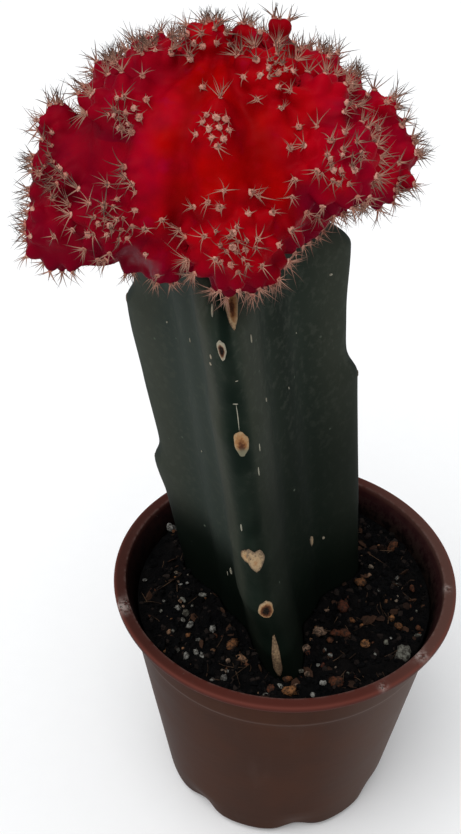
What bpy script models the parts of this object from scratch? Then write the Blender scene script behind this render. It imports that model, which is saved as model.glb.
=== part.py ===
"""Potted moon cactus, in metres, +Z up, with its origin at the middle of the pot's underside.

A red globular cactus with many spiny offsets is grafted on a three-angled green rootstock, which
stands in potting mix in a small thin-walled pot. Each of the four is one closed body.
"""

import math
import random

import bmesh
import bpy
from mathutils import Vector, bvhtree, kdtree

# Driving sizes of the pot: a 64 mm nursery pot
RIM_RADIUS = 0.0320
POT_HEIGHT = 0.0515
FOOT_RADIUS = 0.0223
WALL = 0.0010
NECK_WALL = 0.0012
FLOOR_THICKNESS = 0.0014
FLOOR_CORNER = 0.0006
LIP_WIDTH = 0.0023
LIP_DEPTH = 0.0019
LIP_ROUND = 0.0005
COLLAR_DEPTH = 0.0058
COLLAR_STEP = 0.0003
POT_SIDES = 56
FEET = 7
FIRST_NOTCH = math.radians(-132)
NOTCH_HALF_WIDTH = math.radians(10)
NOTCH_DEPTH = 0.0016
NOTCH_HEIGHT = 0.0060
FOOT_ROUND = 0.0016

# Clear distance between neighbouring solids
GAP = 0.0003

# Potting mix: its lower corner is cut back by the toe, its upper edge lies a little under its level
SOIL_LEVEL = 0.0460
SOIL_LUMPS = 0.0007
SOIL_TOE = 0.0040
SOIL_TOE_RISE = 0.0015
SOIL_EDGE_DROP = 0.0008
TOP_RING_SHARES = (1.0, 0.8, 0.6, 0.4, 0.2, 0.0)
GRAINS = 34
GRAIN_RADIUS = (0.0009, 0.0019)
GRAIN_SHRINK = (0.75, 1.2)
HOLE_CLEAR = 0.0004

# Rootstock: a leaning three-angled stem. Each rib has a heading and the heights of its areoles
RIB_REACH = 0.0212
FLANK_REACH = 0.0092
RIB_SHARPNESS = 3.5
RIBS = {
    math.radians(-90): (0.0515, 0.0630, 0.0735, 0.0980, 0.1200),
    math.radians(25): (0.0350, 0.0600, 0.0925, 0.1250),
    math.radians(150): (0.0400, 0.0710, 0.1050, 0.1300),
}
AREOLE_STEP = 0.0025
AREOLE_STEP_RISE = 0.0034
FRONT_RIB_TWIST = math.radians(8)
TWIST_LEVEL = 0.0630
STEM_FOOT = Vector((-0.0026, -0.0005, SOIL_LEVEL))
STEM_LEAN = -0.125
GRAFT_LEVEL = 0.1222
FOOT_DEPTH = 0.0200
FOOT_RINGS = (0.0, 0.003, 0.008, 0.014)
FOOT_TAPER = 0.8
SHOULDER_LEVEL = 0.1165
SHOULDER_LOSS = 0.34
SHOULDER_POWER = 1.6
SIDES_PER_FLANK = 10
STEM_PITCH = 0.0043

# Scion: the mother body
MOTHER_CENTRE = Vector((-0.0125, 0.0, 0.1360))
MOTHER_WIDTH = 0.0190
MOTHER_TOP = 0.0138
MOTHER_BOTTOM = 0.0160
MOTHER_RIBS = 12
MOTHER_RIB_DEPTH = 0.08
MOTHER_RIB_TURN = math.radians(-91)
MOTHER_RINGS = 9

# Scion: offsets, each ribbed like its mother
OFFSET_RIBS = {"large": 8, "middling": 7, "small": 5}
OFFSET_RINGS = {"large": 6, "middling": 5, "small": 4}
LARGE_FROM = 0.0047
MIDDLING_FROM = 0.0030
OFFSET_RIB_DEPTH = 0.13
OFFSET_LENGTH = 0.96
OFFSET_ROOT = 1.5
SIMPLER = 0.74

# Offsets that the front shows: centre x, y, z and radius in millimetres, heading and rise in degrees
FRONT_OFFSETS = {
    "front_low": (-10.4, -17.7, 129.6, 6.0, -90, 22),
    "left_front": (-26.1, -12.1, 130.1, 5.3, -105, 20),
    "left": (-35.2, -8.5, 127.4, 5.6, 178, 5),
    "left_under": (-20.4, -12.8, 126.4, 3.8, -125, -15),
    "left_shoulder": (-30.0, -5.0, 134.3, 6.2, -170, 5),
    "left_tip": (-36.2, -1.0, 139.4, 3.3, 165, 30),
    "left_middle": (-37.6, -4.5, 134.6, 3.4, 180, 5),
    "upper_left": (-26.0, -7.9, 144.3, 3.9, -95, 40),
    "upper_left_back": (-29.4, 1.5, 144.9, 3.9, 150, 50),
    "top_left": (-22.3, -1.6, 148.2, 4.2, -150, 62),
    "top": (-14.5, 0.7, 149.9, 3.7, 90, 85),
    "top_small": (-9.2, 1.4, 149.6, 2.6, 60, 75),
    "top_leaning": (-5.0, 4.6, 148.2, 2.6, 20, 50),
    "upper_inner": (-6.5, -6.5, 148.0, 3.8, -75, 48),
    "upper_right": (0.7, 0.7, 146.5, 3.8, 20, 50),
    "right_shoulder": (6.2, 3.0, 142.7, 3.7, 15, 35),
    "right_upper": (9.6, 0.7, 140.4, 3.6, 5, 22),
    "right_far": (13.2, -2.2, 137.4, 3.8, -5, 5),
    "right_main": (2.0, -13.1, 138.8, 5.6, -78, 25),
    "right_low": (9.2, -5.7, 133.4, 4.0, -20, -10),
    "right_under": (-2.1, -15.0, 130.6, 3.0, -55, -20),
    "right_bulge": (0.1, -8.6, 144.6, 4.1, -40, 40),
    "middle_tuft": (-13.2, -13.6, 143.6, 2.6, -92, 30),
}

# Offsets of the back, in rows at a rise above the mother's middle: count, first and last heading
BACK_ROWS = ((-14, 6, 28, 158, 0.0047), (14, 6, 38, 148, 0.0040), (44, 4, 50, 140, 0.0030))
BACK_REACH = 0.0205

# Areole rows on an offset: angle from its apex in degrees, and one on every so many ribs
AREOLE_ROWS = {"large": ((44, 2), (80, 1)), "middling": ((62, 2), (92, 2)), "small": ((70, 2),)}

# Areole rows on the mother: rise of each in degrees, and how much higher every other rib's lie
MOTHER_ROWS = (58, 34, 8)
MOTHER_ROW_SHIFT = 9

# An areole shows where it is this many times further out than the skin round it
SHOWS_FROM = 1.04
LOWEST_AREOLE = GRAFT_LEVEL + 0.001

# Spine tufts: six slender pulled-out facets each, raised from a face that holds their foot
SPINE_LENGTH = 0.0030
SPINE_SPREAD = math.radians(50)
SPINE_FACETS = ((0, 1, 3), (1, 2, 3), (2, 0, 3))
TUFT_RADIUS = 0.0005
TUFT_SHARE = 0.85
TUFT_CROWN = 0.0003
SMALLEST_SEAT = 0.0004
SEAT_SEARCH = 0.0022
SEAT_FACING = 0.6
MM = 0.001


def material(name, colour, roughness):
    """A Principled material of one colour."""
    made = bpy.data.materials.new(name)
    made.use_nodes = True
    shader = made.node_tree.nodes["Principled BSDF"]
    shader.inputs["Base Color"].default_value = (*colour, 1.0)
    shader.inputs["Roughness"].default_value = roughness
    return made


def direction(heading, rise):
    """The unit vector at a compass heading and a rise above the horizon, in radians."""
    flat = math.cos(rise)
    return Vector((flat * math.cos(heading), flat * math.sin(heading), math.sin(rise)))


def loft(rings, name):
    """A closed mesh over rings of equal length; a ring of one point closes an end."""
    shape = bmesh.new()
    loops = [[shape.verts.new(point) for point in ring] for ring in rings]
    for lower, upper in zip(loops, loops[1:]):
        sides = max(len(lower), len(upper))
        for i in range(sides):
            j = (i + 1) % sides
            corners = [lower[i % len(lower)], lower[j % len(lower)]]
            corners += [upper[j % len(upper)], upper[i % len(upper)]]
            shape.faces.new(list(dict.fromkeys(corners)))
    bmesh.ops.triangulate(shape, faces=shape.faces)
    bmesh.ops.recalc_face_normals(shape, faces=shape.faces)
    mesh = bpy.data.meshes.new(name)
    shape.to_mesh(mesh)
    shape.free()
    return bpy.data.objects.new(name, mesh)


def finish(piece, look, crease=math.radians(40)):
    """Puts a finished piece in the scene, smooth but for its sharp edges."""
    piece.data.materials.clear()
    piece.data.materials.append(look)
    piece.data.shade_smooth()
    piece.data.set_sharp_from_angle(angle=crease)
    if piece.name not in bpy.context.scene.collection.objects:
        bpy.context.scene.collection.objects.link(piece)


def largest_shell(mesh):
    """Keeps the biggest connected body of a mesh and drops loose scraps and sealed hollows."""
    shape = bmesh.new()
    shape.from_mesh(mesh)
    bmesh.ops.dissolve_degenerate(shape, dist=1e-7, edges=shape.edges)
    unseen = set(shape.verts)
    shells = []
    while unseen:
        start = unseen.pop()
        shell = {start}
        front = [start]
        while front:
            vertex = front.pop()
            for edge in vertex.link_edges:
                other = edge.other_vert(vertex)
                if other in unseen:
                    unseen.discard(other)
                    shell.add(other)
                    front.append(other)
        shells.append(shell)
    keep = max(shells, key=len)
    bmesh.ops.delete(shape, geom=[v for v in shape.verts if v not in keep], context="VERTS")
    bmesh.ops.triangulate(shape, faces=shape.faces)
    shape.to_mesh(mesh)
    shape.free()


def fuse(host, repeats):
    """Unions the repeats into their host, applies the union and removes the repeats."""
    bpy.context.scene.collection.objects.link(host)
    group = bpy.data.collections.new(host.name + "_repeats")
    bpy.context.scene.collection.children.link(group)
    for repeat in repeats:
        group.objects.link(repeat)
    union = host.modifiers.new("repeats", "BOOLEAN")
    union.operation = "UNION"
    union.operand_type = "COLLECTION"
    union.collection = group
    union.solver = "MANIFOLD"
    bpy.context.view_layer.update()
    graph = bpy.context.evaluated_depsgraph_get()
    joined = bpy.data.meshes.new_from_object(host.evaluated_get(graph))
    host.modifiers.clear()
    host.data = joined
    for repeat in repeats:
        bpy.data.objects.remove(repeat)
    bpy.data.collections.remove(group)
    largest_shell(joined)


def simplify(piece):
    """Collapses the shortest edges, which lie along the seams that a union leaves."""
    fewer = piece.modifiers.new("fewer", "DECIMATE")
    fewer.ratio = SIMPLER
    bpy.context.view_layer.update()
    graph = bpy.context.evaluated_depsgraph_get()
    plainer = bpy.data.meshes.new_from_object(piece.evaluated_get(graph))
    piece.modifiers.clear()
    piece.data = plainer


# Pot


def notch_share(angle):
    """How deep a point at this angle lies in its notch between two feet, from 0 to 1."""
    pitch = 2 * math.pi / FEET
    offset = (angle - FIRST_NOTCH + pitch / 2) % pitch - pitch / 2
    return math.exp(-((offset / NOTCH_HALF_WIDTH) ** 2))


def wall_radius(z):
    """The outer radius of the pot's plain wall at a height."""
    share = z / (POT_HEIGHT - LIP_DEPTH)
    return FOOT_RADIUS + share * (RIM_RADIUS - LIP_WIDTH - FOOT_RADIUS)


def pot_profile():
    """Radius and height of the pot's section, from the underside's middle round to the floor's."""
    collar = POT_HEIGHT - COLLAR_DEPTH
    under_lip = POT_HEIGHT - LIP_DEPTH
    inner_lip = RIM_RADIUS - LIP_WIDTH
    foot_bend = 0.3 * FOOT_ROUND
    return [
        (wall_radius(0) - FOOT_ROUND, 0.0),
        (wall_radius(0) - foot_bend, foot_bend),
        (wall_radius(FOOT_ROUND), FOOT_ROUND),
        (wall_radius(NOTCH_HEIGHT), NOTCH_HEIGHT),
        (wall_radius(collar), collar),
        (wall_radius(collar) + COLLAR_STEP, collar + COLLAR_STEP),
        (wall_radius(under_lip), under_lip - COLLAR_STEP),
        (RIM_RADIUS - LIP_ROUND, under_lip),
        (RIM_RADIUS, under_lip + LIP_ROUND),
        (RIM_RADIUS, POT_HEIGHT - LIP_ROUND),
        (RIM_RADIUS - LIP_ROUND, POT_HEIGHT),
        (inner_lip + LIP_ROUND, POT_HEIGHT),
        (inner_lip, POT_HEIGHT - LIP_ROUND),
        (wall_radius(under_lip) - NECK_WALL, under_lip - LIP_DEPTH),
        (wall_radius(NOTCH_HEIGHT) - WALL, NOTCH_HEIGHT),
        (wall_radius(FOOT_ROUND) - WALL, FOOT_ROUND + WALL),
        (wall_radius(0) - FOOT_ROUND - FLOOR_CORNER, FLOOR_THICKNESS),
    ]


def build_pot():
    rings = [[Vector((0, 0, 0))]]
    for radius, z in pot_profile():
        ring = []
        for side in range(POT_SIDES):
            angle = 2 * math.pi * side / POT_SIDES + FIRST_NOTCH
            fade = max(0.0, 1 - z / NOTCH_HEIGHT)
            reach = radius - NOTCH_DEPTH * notch_share(angle) * fade
            ring.append(Vector((reach * math.cos(angle), reach * math.sin(angle), z)))
        rings.append(ring)
    rings.append([Vector((0, 0, FLOOR_THICKNESS))])
    pot = loft(rings, "pot")
    finish(pot, material("pot_plastic", (0.135, 0.045, 0.032), 0.48))


# Rootstock


def stem_centre(z):
    """The middle of the leaning stem at a height."""
    return STEM_FOOT + Vector((STEM_LEAN * (z - STEM_FOOT.z), 0, z - STEM_FOOT.z))


def crest_reach(areoles, z):
    """Reach of a rib's margin: it steps in just above each areole and grows out to the next."""
    below = [level for level in areoles if level <= z]
    above = [level for level in areoles if level > z]
    if not below or not above:
        return RIB_REACH
    risen = z - max(below)
    left = (min(above) - z) / (min(above) - max(below))
    return RIB_REACH - AREOLE_STEP * (1 - math.exp(-((risen / AREOLE_STEP_RISE) ** 2))) * left


def stem_ring(z, clear=0.0):
    """A ring of the stem: blunt ribs over hollow flanks, bevelled under the graft, narrowed in the mix."""
    bevel = max(0.0, (z - SHOULDER_LEVEL) / (GRAFT_LEVEL - SHOULDER_LEVEL)) ** SHOULDER_POWER
    sunk = min(1.0, max(0.0, (SOIL_LEVEL - z) / FOOT_DEPTH))
    taper = math.sqrt(1 - FOOT_TAPER * sunk**2)
    twist = FRONT_RIB_TWIST * min(1.0, max(0.0, (TWIST_LEVEL - z) / (TWIST_LEVEL - SOIL_LEVEL)))
    headings = list(RIBS)
    headings[0] += twist
    reaches = [crest_reach(areoles, z) * (1 - SHOULDER_LOSS * bevel) for areoles in RIBS.values()]
    ring = []
    for rib, heading in enumerate(headings):
        after = (rib + 1) % len(headings)
        span = (headings[after] - heading) % (2 * math.pi)
        for side in range(SIDES_PER_FLANK):
            share = side / SIDES_PER_FLANK
            crest = reaches[rib] if share < 0.5 else reaches[after]
            ridge = (0.5 + 0.5 * math.cos(2 * math.pi * share)) ** RIB_SHARPNESS
            reach = taper * (FLANK_REACH + (crest - FLANK_REACH) * ridge) + clear
            ring.append(stem_centre(z) + direction(heading + span * share, 0) * reach)
    return ring


def build_rootstock():
    bottom = SOIL_LEVEL - FOOT_DEPTH
    levels = [bottom + rise for rise in FOOT_RINGS] + [SOIL_LEVEL]
    while levels[-1] + STEM_PITCH < SHOULDER_LEVEL:
        levels.append(levels[-1] + STEM_PITCH)
    levels += [SHOULDER_LEVEL, 0.5 * (SHOULDER_LEVEL + GRAFT_LEVEL), GRAFT_LEVEL]
    rings = [[stem_centre(bottom)]]
    rings += [stem_ring(z) for z in levels]
    rings.append([stem_centre(GRAFT_LEVEL)])
    stem = loft(rings, "rootstock")
    finish(stem, material("rootstock_skin", (0.020, 0.035, 0.022), 0.42))


# Potting mix


def plain_ring(radius, z):
    """A round ring of the mix, each point on the heading of a point of the stem's ring."""
    ring = []
    for point in stem_ring(SOIL_LEVEL):
        away = (point - stem_centre(SOIL_LEVEL)).normalized()
        ring.append(away * radius + Vector((0, 0, z)))
    return ring


def top_ring(share, edge, draw):
    """A lumpy ring of the mix's top, from the stem's hole at share 0 to the wall at share 1."""
    ring = []
    for inner, outer in zip(stem_ring(SOIL_LEVEL, HOLE_CLEAR), plain_ring(edge, SOIL_LEVEL)):
        point = inner.lerp(outer, share)
        point.z += draw.uniform(-SOIL_LUMPS, SOIL_LUMPS) if 0 < share < 1 else 0.0
        ring.append(point)
    return ring


def grain(spot, radius, draw):
    """A crumb with a few flat sides, half sunk at its spot."""
    shape = bmesh.new()
    bmesh.ops.create_cube(shape, size=1.4 * radius)
    for vertex in shape.verts:
        vertex.co *= draw.uniform(*GRAIN_SHRINK)
    mesh = bpy.data.meshes.new("grain")
    shape.to_mesh(mesh)
    shape.free()
    made = bpy.data.objects.new("grain", mesh)
    made.location = spot
    made.rotation_euler = [draw.uniform(0, 2 * math.pi) for _ in range(3)]
    return made


def build_soil():
    draw = random.Random(7)
    bottom = FLOOR_THICKNESS + GAP
    pocket = SOIL_LEVEL - FOOT_DEPTH
    edge = wall_radius(SOIL_LEVEL) - NECK_WALL - GAP
    low = wall_radius(NOTCH_HEIGHT) - WALL - GAP
    rings = [[Vector((0, 0, bottom))]]
    rings.append(plain_ring(low - SOIL_TOE, bottom))
    rings.append(plain_ring(low, NOTCH_HEIGHT + SOIL_TOE_RISE))
    rings.append(plain_ring(edge, SOIL_LEVEL - SOIL_EDGE_DROP))
    rings += [top_ring(share, edge, draw) for share in TOP_RING_SHARES]
    rings += [stem_ring(pocket + rise, HOLE_CLEAR) for rise in reversed(FOOT_RINGS)]
    rings.append([stem_centre(pocket - GAP)])
    soil = loft(rings, "soil")
    grains = []
    while len(grains) < GRAINS:
        heading = draw.uniform(0, 2 * math.pi)
        radius = draw.uniform(*GRAIN_RADIUS)
        reach = (edge - 1.3 * radius) * math.sqrt(draw.random())
        spot = direction(heading, 0) * reach + Vector((0, 0, SOIL_LEVEL))
        nearest = min((spot - point).length for point in stem_ring(SOIL_LEVEL))
        inside = (spot - stem_centre(SOIL_LEVEL)).length < FLANK_REACH
        if nearest > 2.0 * radius and not inside:
            grains.append(grain(spot, radius, draw))
    fuse(soil, grains)
    finish(soil, material("potting_mix", (0.020, 0.016, 0.013), 0.95))


# Scion


def size_class(radius):
    if radius > LARGE_FROM:
        return "large"
    return "middling" if radius > MIDDLING_FROM else "small"


def ribbed_ball(centre, axis, radius):
    """An offset: a ball with ribs along its axis and a longer root, a crest and a valley in turn."""
    turn = axis.to_track_quat("Z", "Y")
    count = OFFSET_RINGS[size_class(radius)]
    sides = 2 * OFFSET_RIBS[size_class(radius)]
    rings = [[centre - axis * radius * OFFSET_ROOT]]
    for row in range(1, count):
        polar = math.pi * (1 - row / count)
        length = OFFSET_ROOT if polar > math.pi / 2 else OFFSET_LENGTH
        ring = []
        for side in range(sides):
            valley = OFFSET_RIB_DEPTH if side % 2 else 0.0
            reach = radius * (1 - valley) * math.sin(polar)
            angle = 2 * math.pi * side / sides
            local = Vector((reach * math.cos(angle), reach * math.sin(angle), 0))
            local.z = radius * length * math.cos(polar)
            ring.append(centre + turn @ local)
        rings.append(ring)
    rings.append([centre + axis * radius * OFFSET_LENGTH])
    return loft(rings, "offset")


def split_seat(shape, face):
    """Splits a face round a small hexagon and returns the hexagon's corners and its middle."""
    outer = list(face.verts)
    corners = [vertex.co.copy() for vertex in outer]
    sides = [(corners[(i + 1) % 3] - corners[(i + 2) % 3]).length for i in range(3)]
    middle = sum((corners[i] * sides[i] for i in range(3)), Vector()) / sum(sides)
    size = min(TUFT_RADIUS, TUFT_SHARE * 2 * face.calc_area() / sum(sides))
    shape.faces.remove(face)
    ring = []
    for i in range(3):
        edge = corners[(i + 1) % 3] - corners[i]
        foot = corners[i] + edge * ((middle - corners[i]).dot(edge) / edge.length_squared)
        ring.append(shape.verts.new(middle + (corners[i] - middle).normalized() * size))
        ring.append(shape.verts.new(middle + (foot - middle).normalized() * size))
    for i in range(3):
        here, after = outer[i], outer[(i + 1) % 3]
        crest, side, crest_after = ring[2 * i], ring[2 * i + 1], ring[(2 * i + 2) % 6]
        for trio in ((here, after, side), (here, side, crest), (after, crest_after, side)):
            shape.faces.new(trio)
    return ring, middle


def raise_tuft(shape, face, outward, skin, grown):
    """Pulls the facets of a seat's hexagon out to spine tips, but for those that would hit something."""
    seat = face.index
    upright = (2 * face.normal + outward).normalized()
    ring, middle = split_seat(shape, face)
    crown = shape.verts.new(middle + upright * TUFT_CROWN)
    neighbours = bvhtree.BVHTree.FromPolygons(*grown)
    points, trios = grown
    for i in range(len(ring)):
        first, second = ring[i], ring[(i + 1) % len(ring)]
        foot = (first.co + second.co + crown.co) / 3
        sideways = (foot - middle) - upright * (foot - middle).dot(upright)
        lean = sideways.normalized() * math.sin(SPINE_SPREAD) + upright * math.cos(SPINE_SPREAD)
        tip = foot + lean * SPINE_LENGTH
        corners = [first.co.copy(), second.co.copy(), crown.co.copy(), tip]
        blade = bvhtree.BVHTree.FromPolygons(corners, SPINE_FACETS)
        met = [face_met for _, face_met in blade.overlap(skin) if face_met != seat]
        if met or blade.overlap(neighbours):
            shape.faces.new((first, second, crown))
            continue
        base = len(points)
        points += corners
        trios += [tuple(base + corner for corner in facet) for facet in SPINE_FACETS]
        vertices = (first, second, crown, shape.verts.new(tip))
        for facet in SPINE_FACETS:
            shape.faces.new([vertices[corner] for corner in facet])


def mother_reach(heading, rise):
    """Distance from the mother's centre to her skin in a direction, ribs included."""
    down = MOTHER_TOP if rise > 0 else MOTHER_BOTTOM
    flat, up = math.cos(rise) / MOTHER_WIDTH, math.sin(rise) / down
    plain = 1 / math.sqrt(flat**2 + up**2)
    valley = 0.5 - 0.5 * math.cos(MOTHER_RIBS * (heading - MOTHER_RIB_TURN))
    return plain * (1 - MOTHER_RIB_DEPTH * valley * math.cos(rise))


def build_mother():
    sides = 2 * MOTHER_RIBS
    seat = GRAFT_LEVEL + GAP - MOTHER_CENTRE.z
    lowest = math.asin(seat / MOTHER_BOTTOM)
    rings = [[MOTHER_CENTRE + Vector((0, 0, seat))]]
    for row in range(MOTHER_RINGS):
        tilt = lowest + (math.pi / 2 - lowest) * row / MOTHER_RINGS
        down = MOTHER_TOP if tilt > 0 else MOTHER_BOTTOM
        rise = math.atan2(down * math.sin(tilt), MOTHER_WIDTH * math.cos(tilt))
        ring = []
        for side in range(sides):
            heading = 2 * math.pi * side / sides + MOTHER_RIB_TURN
            point = direction(heading, rise) * mother_reach(heading, rise)
            if row == 0:
                point.z = seat
            ring.append(MOTHER_CENTRE + point)
        rings.append(ring)
    rings.append([MOTHER_CENTRE + Vector((0, 0, MOTHER_TOP))])
    return loft(rings, "scion")


def offset_list():
    """Centre, axis and radius of every offset, the front's by place and the back's by rows."""
    offsets = []
    for x, y, z, radius, heading, rise in FRONT_OFFSETS.values():
        axis = direction(math.radians(heading), math.radians(rise))
        offsets.append((Vector((x, y, z)) * MM, axis, radius * MM))
    draw = random.Random(11)
    for rise, count, first, last, radius in BACK_ROWS:
        for k in range(count):
            heading = math.radians(first + (last - first) * k / (count - 1) + draw.uniform(-4, 4))
            lift = math.radians(rise + draw.uniform(-4, 4))
            axis = direction(heading, lift)
            reach = mother_reach(heading, lift) * BACK_REACH / MOTHER_WIDTH
            centre = MOTHER_CENTRE + axis * reach
            offsets.append((centre, axis, radius * draw.uniform(0.88, 1.12)))
    return offsets


def buried(point, offsets, own):
    """Whether a point lies inside the mother or inside another offset."""
    away = point - MOTHER_CENTRE
    heading = math.atan2(away.y, away.x)
    rise = math.asin(away.z / away.length)
    if own is not None and away.length < SHOWS_FROM * mother_reach(heading, rise):
        return True
    others = [item for item in offsets if item is not own]
    return any((point - centre).length < SHOWS_FROM * radius for centre, _, radius in others)


def offset_areoles(item, offsets):
    """Spots and outward directions of an offset's areoles: its apex, and rows on its rib crests."""
    centre, axis, radius = item
    turn = axis.to_track_quat("Z", "Y")
    ribs = OFFSET_RIBS[size_class(radius)]
    spots = [(centre + axis * radius * OFFSET_LENGTH, axis)]
    for polar, step in AREOLE_ROWS[size_class(radius)]:
        for rib in range(0, ribs, step):
            outward = turn @ direction(2 * math.pi * rib / ribs, math.radians(90 - polar))
            spot = centre + outward * radius
            if not buried(spot, offsets, item) and spot.z > LOWEST_AREOLE:
                spots.append((spot, outward))
    return spots


def mother_areoles(offsets):
    """Spots and outward directions of the areoles down the mother's ribs, where she shows."""
    spots = []
    for rib in range(MOTHER_RIBS):
        heading = 2 * math.pi * rib / MOTHER_RIBS + MOTHER_RIB_TURN
        for rise in MOTHER_ROWS:
            outward = direction(heading, math.radians(rise + MOTHER_ROW_SHIFT * (rib % 2)))
            spot = MOTHER_CENTRE + outward * mother_reach(heading, math.asin(outward.z))
            if not buried(spot, offsets, None):
                spots.append((spot, outward))
    return spots


def raise_spines(mesh, spots):
    """Raises a tuft at each spot, from the nearest face there that is large enough to hold it."""
    shape = bmesh.new()
    shape.from_mesh(mesh)
    shape.faces.ensure_lookup_table()
    skin = bvhtree.BVHTree.FromBMesh(shape)
    faces = []
    for face in shape.faces:
        inner = 2 * face.calc_area() / face.calc_perimeter()
        if inner > SMALLEST_SEAT:
            faces.append(face)
    finder = kdtree.KDTree(len(faces))
    for index, face in enumerate(faces):
        finder.insert(face.calc_center_median(), index)
    finder.balance()
    used = set()
    grown = ([], [])
    for spot, outward in spots:
        for _, index, distance in finder.find_n(spot, 8):
            facing = faces[index].normal.dot(outward) if index not in used else 0.0
            if facing > SEAT_FACING and distance < SEAT_SEARCH:
                used.add(index)
                raise_tuft(shape, faces[index], outward, skin, grown)
                break
    shape.normal_update()
    shape.to_mesh(mesh)
    shape.free()


def build_scion():
    offsets = offset_list()
    mother = build_mother()
    fuse(mother, [ribbed_ball(*item) for item in offsets])
    simplify(mother)
    spots = mother_areoles(offsets)
    for item in offsets:
        spots += offset_areoles(item, offsets)
    raise_spines(mother.data, spots)
    finish(mother, material("scion_skin", (0.42, 0.004, 0.012), 0.38))


for old in list(bpy.data.objects):
    bpy.data.objects.remove(old)
build_pot()
build_soil()
build_rootstock()
build_scion()
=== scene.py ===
"""A potted moon cactus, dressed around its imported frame.

A red globular cactus with many offsets is grafted on a dark green three-angled stem, which stands in
peat in a thin nursery pot. All sizes are metres, +Z is up, and every piece rides on the one body.
"""

# %% [markdown]
# # A potted moon cactus
# The frame holds four plain solids: the pot, the potting mix, the rootstock and the scion. Each is
# replaced here by finer pieces that keep its form. Every surface is worked out with numpy as whole
# arrays, so each piece can be read as a formula and not as a list of clicks.

import math
import random

import bpy
import numpy as np
from mathutils import Matrix, Vector
from mathutils.bvhtree import BVHTree


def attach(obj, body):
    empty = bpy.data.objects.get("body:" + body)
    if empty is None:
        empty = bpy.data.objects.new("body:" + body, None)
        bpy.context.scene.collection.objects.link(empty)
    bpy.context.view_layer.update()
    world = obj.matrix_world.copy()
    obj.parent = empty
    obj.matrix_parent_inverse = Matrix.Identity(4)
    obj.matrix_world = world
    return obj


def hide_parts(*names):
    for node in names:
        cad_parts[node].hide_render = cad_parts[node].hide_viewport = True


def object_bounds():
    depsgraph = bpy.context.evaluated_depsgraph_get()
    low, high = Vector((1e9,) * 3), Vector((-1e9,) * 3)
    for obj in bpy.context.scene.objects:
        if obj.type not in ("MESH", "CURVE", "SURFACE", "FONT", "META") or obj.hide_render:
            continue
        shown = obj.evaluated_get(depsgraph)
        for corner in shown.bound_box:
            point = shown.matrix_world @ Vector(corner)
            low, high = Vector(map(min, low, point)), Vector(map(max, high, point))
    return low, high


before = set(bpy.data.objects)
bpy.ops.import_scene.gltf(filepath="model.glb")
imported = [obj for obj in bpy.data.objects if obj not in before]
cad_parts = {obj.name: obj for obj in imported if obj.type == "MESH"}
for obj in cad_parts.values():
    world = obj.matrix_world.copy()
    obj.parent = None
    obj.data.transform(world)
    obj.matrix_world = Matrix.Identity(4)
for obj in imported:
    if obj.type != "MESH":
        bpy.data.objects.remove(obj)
cad_box = [list(corner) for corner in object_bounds()]
MM = 0.001
print("CAD box in mm:", [[round(value / MM, 1) for value in corner] for corner in cad_box])

# %% [markdown]
# ## Helpers for meshes
# A closed skin is a stack of rings: quads run between neighbouring rings, and a fan of triangles
# closes each end on one point. A small shape that is repeated gets, for each copy, its own place and
# its own three axes, all in one multiplication. Two curves do most of the shaping: a bell for what
# fades on both sides of a place, and a smooth step for what starts or ends at one.


# %% Curves, rings, copies and smooth noise
def circle(count):
    """Even angles round a full turn."""
    return np.arange(count) * 2 * np.pi / count


def bell(value, width):
    """A bell curve of unit height: exp(-(value / width)^2)."""
    return np.exp(-((value / width) ** 2))


def smooth_step(low, high, value):
    """0 below low, 1 above high, and the curve 3t^2 - 2t^3 between them."""
    share = np.clip((value - low) / (high - low), 0, 1)
    return share * share * (3 - 2 * share)


def unit(vectors):
    """Vectors divided by their length."""
    return vectors / np.linalg.norm(vectors, axis=-1, keepdims=True)


def towards(heading, rise):
    """Unit vectors at a heading and a rise above the horizon: (cos r cos h, cos r sin h, sin r)."""
    flat, up = np.cos(rise), np.sin(rise) + 0 * heading
    return np.stack([flat * np.cos(heading), flat * np.sin(heading), up], axis=-1)


def axes_along(ups, spin):
    """Right-handed axes with the third along each direction, turned about it by the spin angle."""
    helper = np.where(np.abs(ups[:, 2:]) < 0.9, [[0.0, 0.0, 1.0]], [[1.0, 0.0, 0.0]])
    side = unit(np.cross(helper, ups))
    other = np.cross(ups, side)
    first = side * np.cos(spin)[:, None] + other * np.sin(spin)[:, None]
    return np.stack([first, np.cross(ups, first), ups], axis=-1)


def closed_skin(rows, start, end):
    """Points and faces of a closed body: rings in quads, and a fan to a single point at each end."""
    count, sides = rows.shape[:2]
    points = np.concatenate([rows.reshape(-1, 3), [start, end]])
    ring = np.arange(count * sides).reshape(count, sides)
    after = np.roll(ring, -1, axis=1)
    quads = np.stack([ring[:-1], after[:-1], after[1:], ring[1:]], axis=-1).reshape(-1, 4)
    first = np.stack([after[0], ring[0], np.full(sides, count * sides)], axis=-1)
    last = np.stack([ring[-1], after[-1], np.full(sides, count * sides + 1)], axis=-1)
    return points, quads.tolist() + first.tolist() + last.tolist()


def joined(skins):
    """Points and faces of several skins as one list."""
    points, faces, start = [], [], 0
    for skin_points, skin_faces in skins:
        points.append(skin_points)
        faces += [[corner + start for corner in face] for face in skin_faces]
        start += len(skin_points)
    return np.concatenate(points), faces


def closed_copies(rows, ends):
    """Points and faces of many closed bodies, each with its rings and two ends, and the points of one."""
    count = len(rows)
    points = np.concatenate([rows.reshape(count, -1, 3), ends], axis=1)
    size = points.shape[1]
    _, faces = closed_skin(rows[0], *ends[0])
    jump = (np.arange(count) * size)[:, None, None]
    quads = np.array([face for face in faces if len(face) == 4]).reshape(-1, 4)
    fans = np.array([face for face in faces if len(face) == 3]).reshape(-1, 3)
    repeated = [(kind[None] + jump).reshape(-1, kind.shape[1]).tolist() for kind in (quads, fans)]
    return points.reshape(-1, 3), repeated[0] + repeated[1], size


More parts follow.
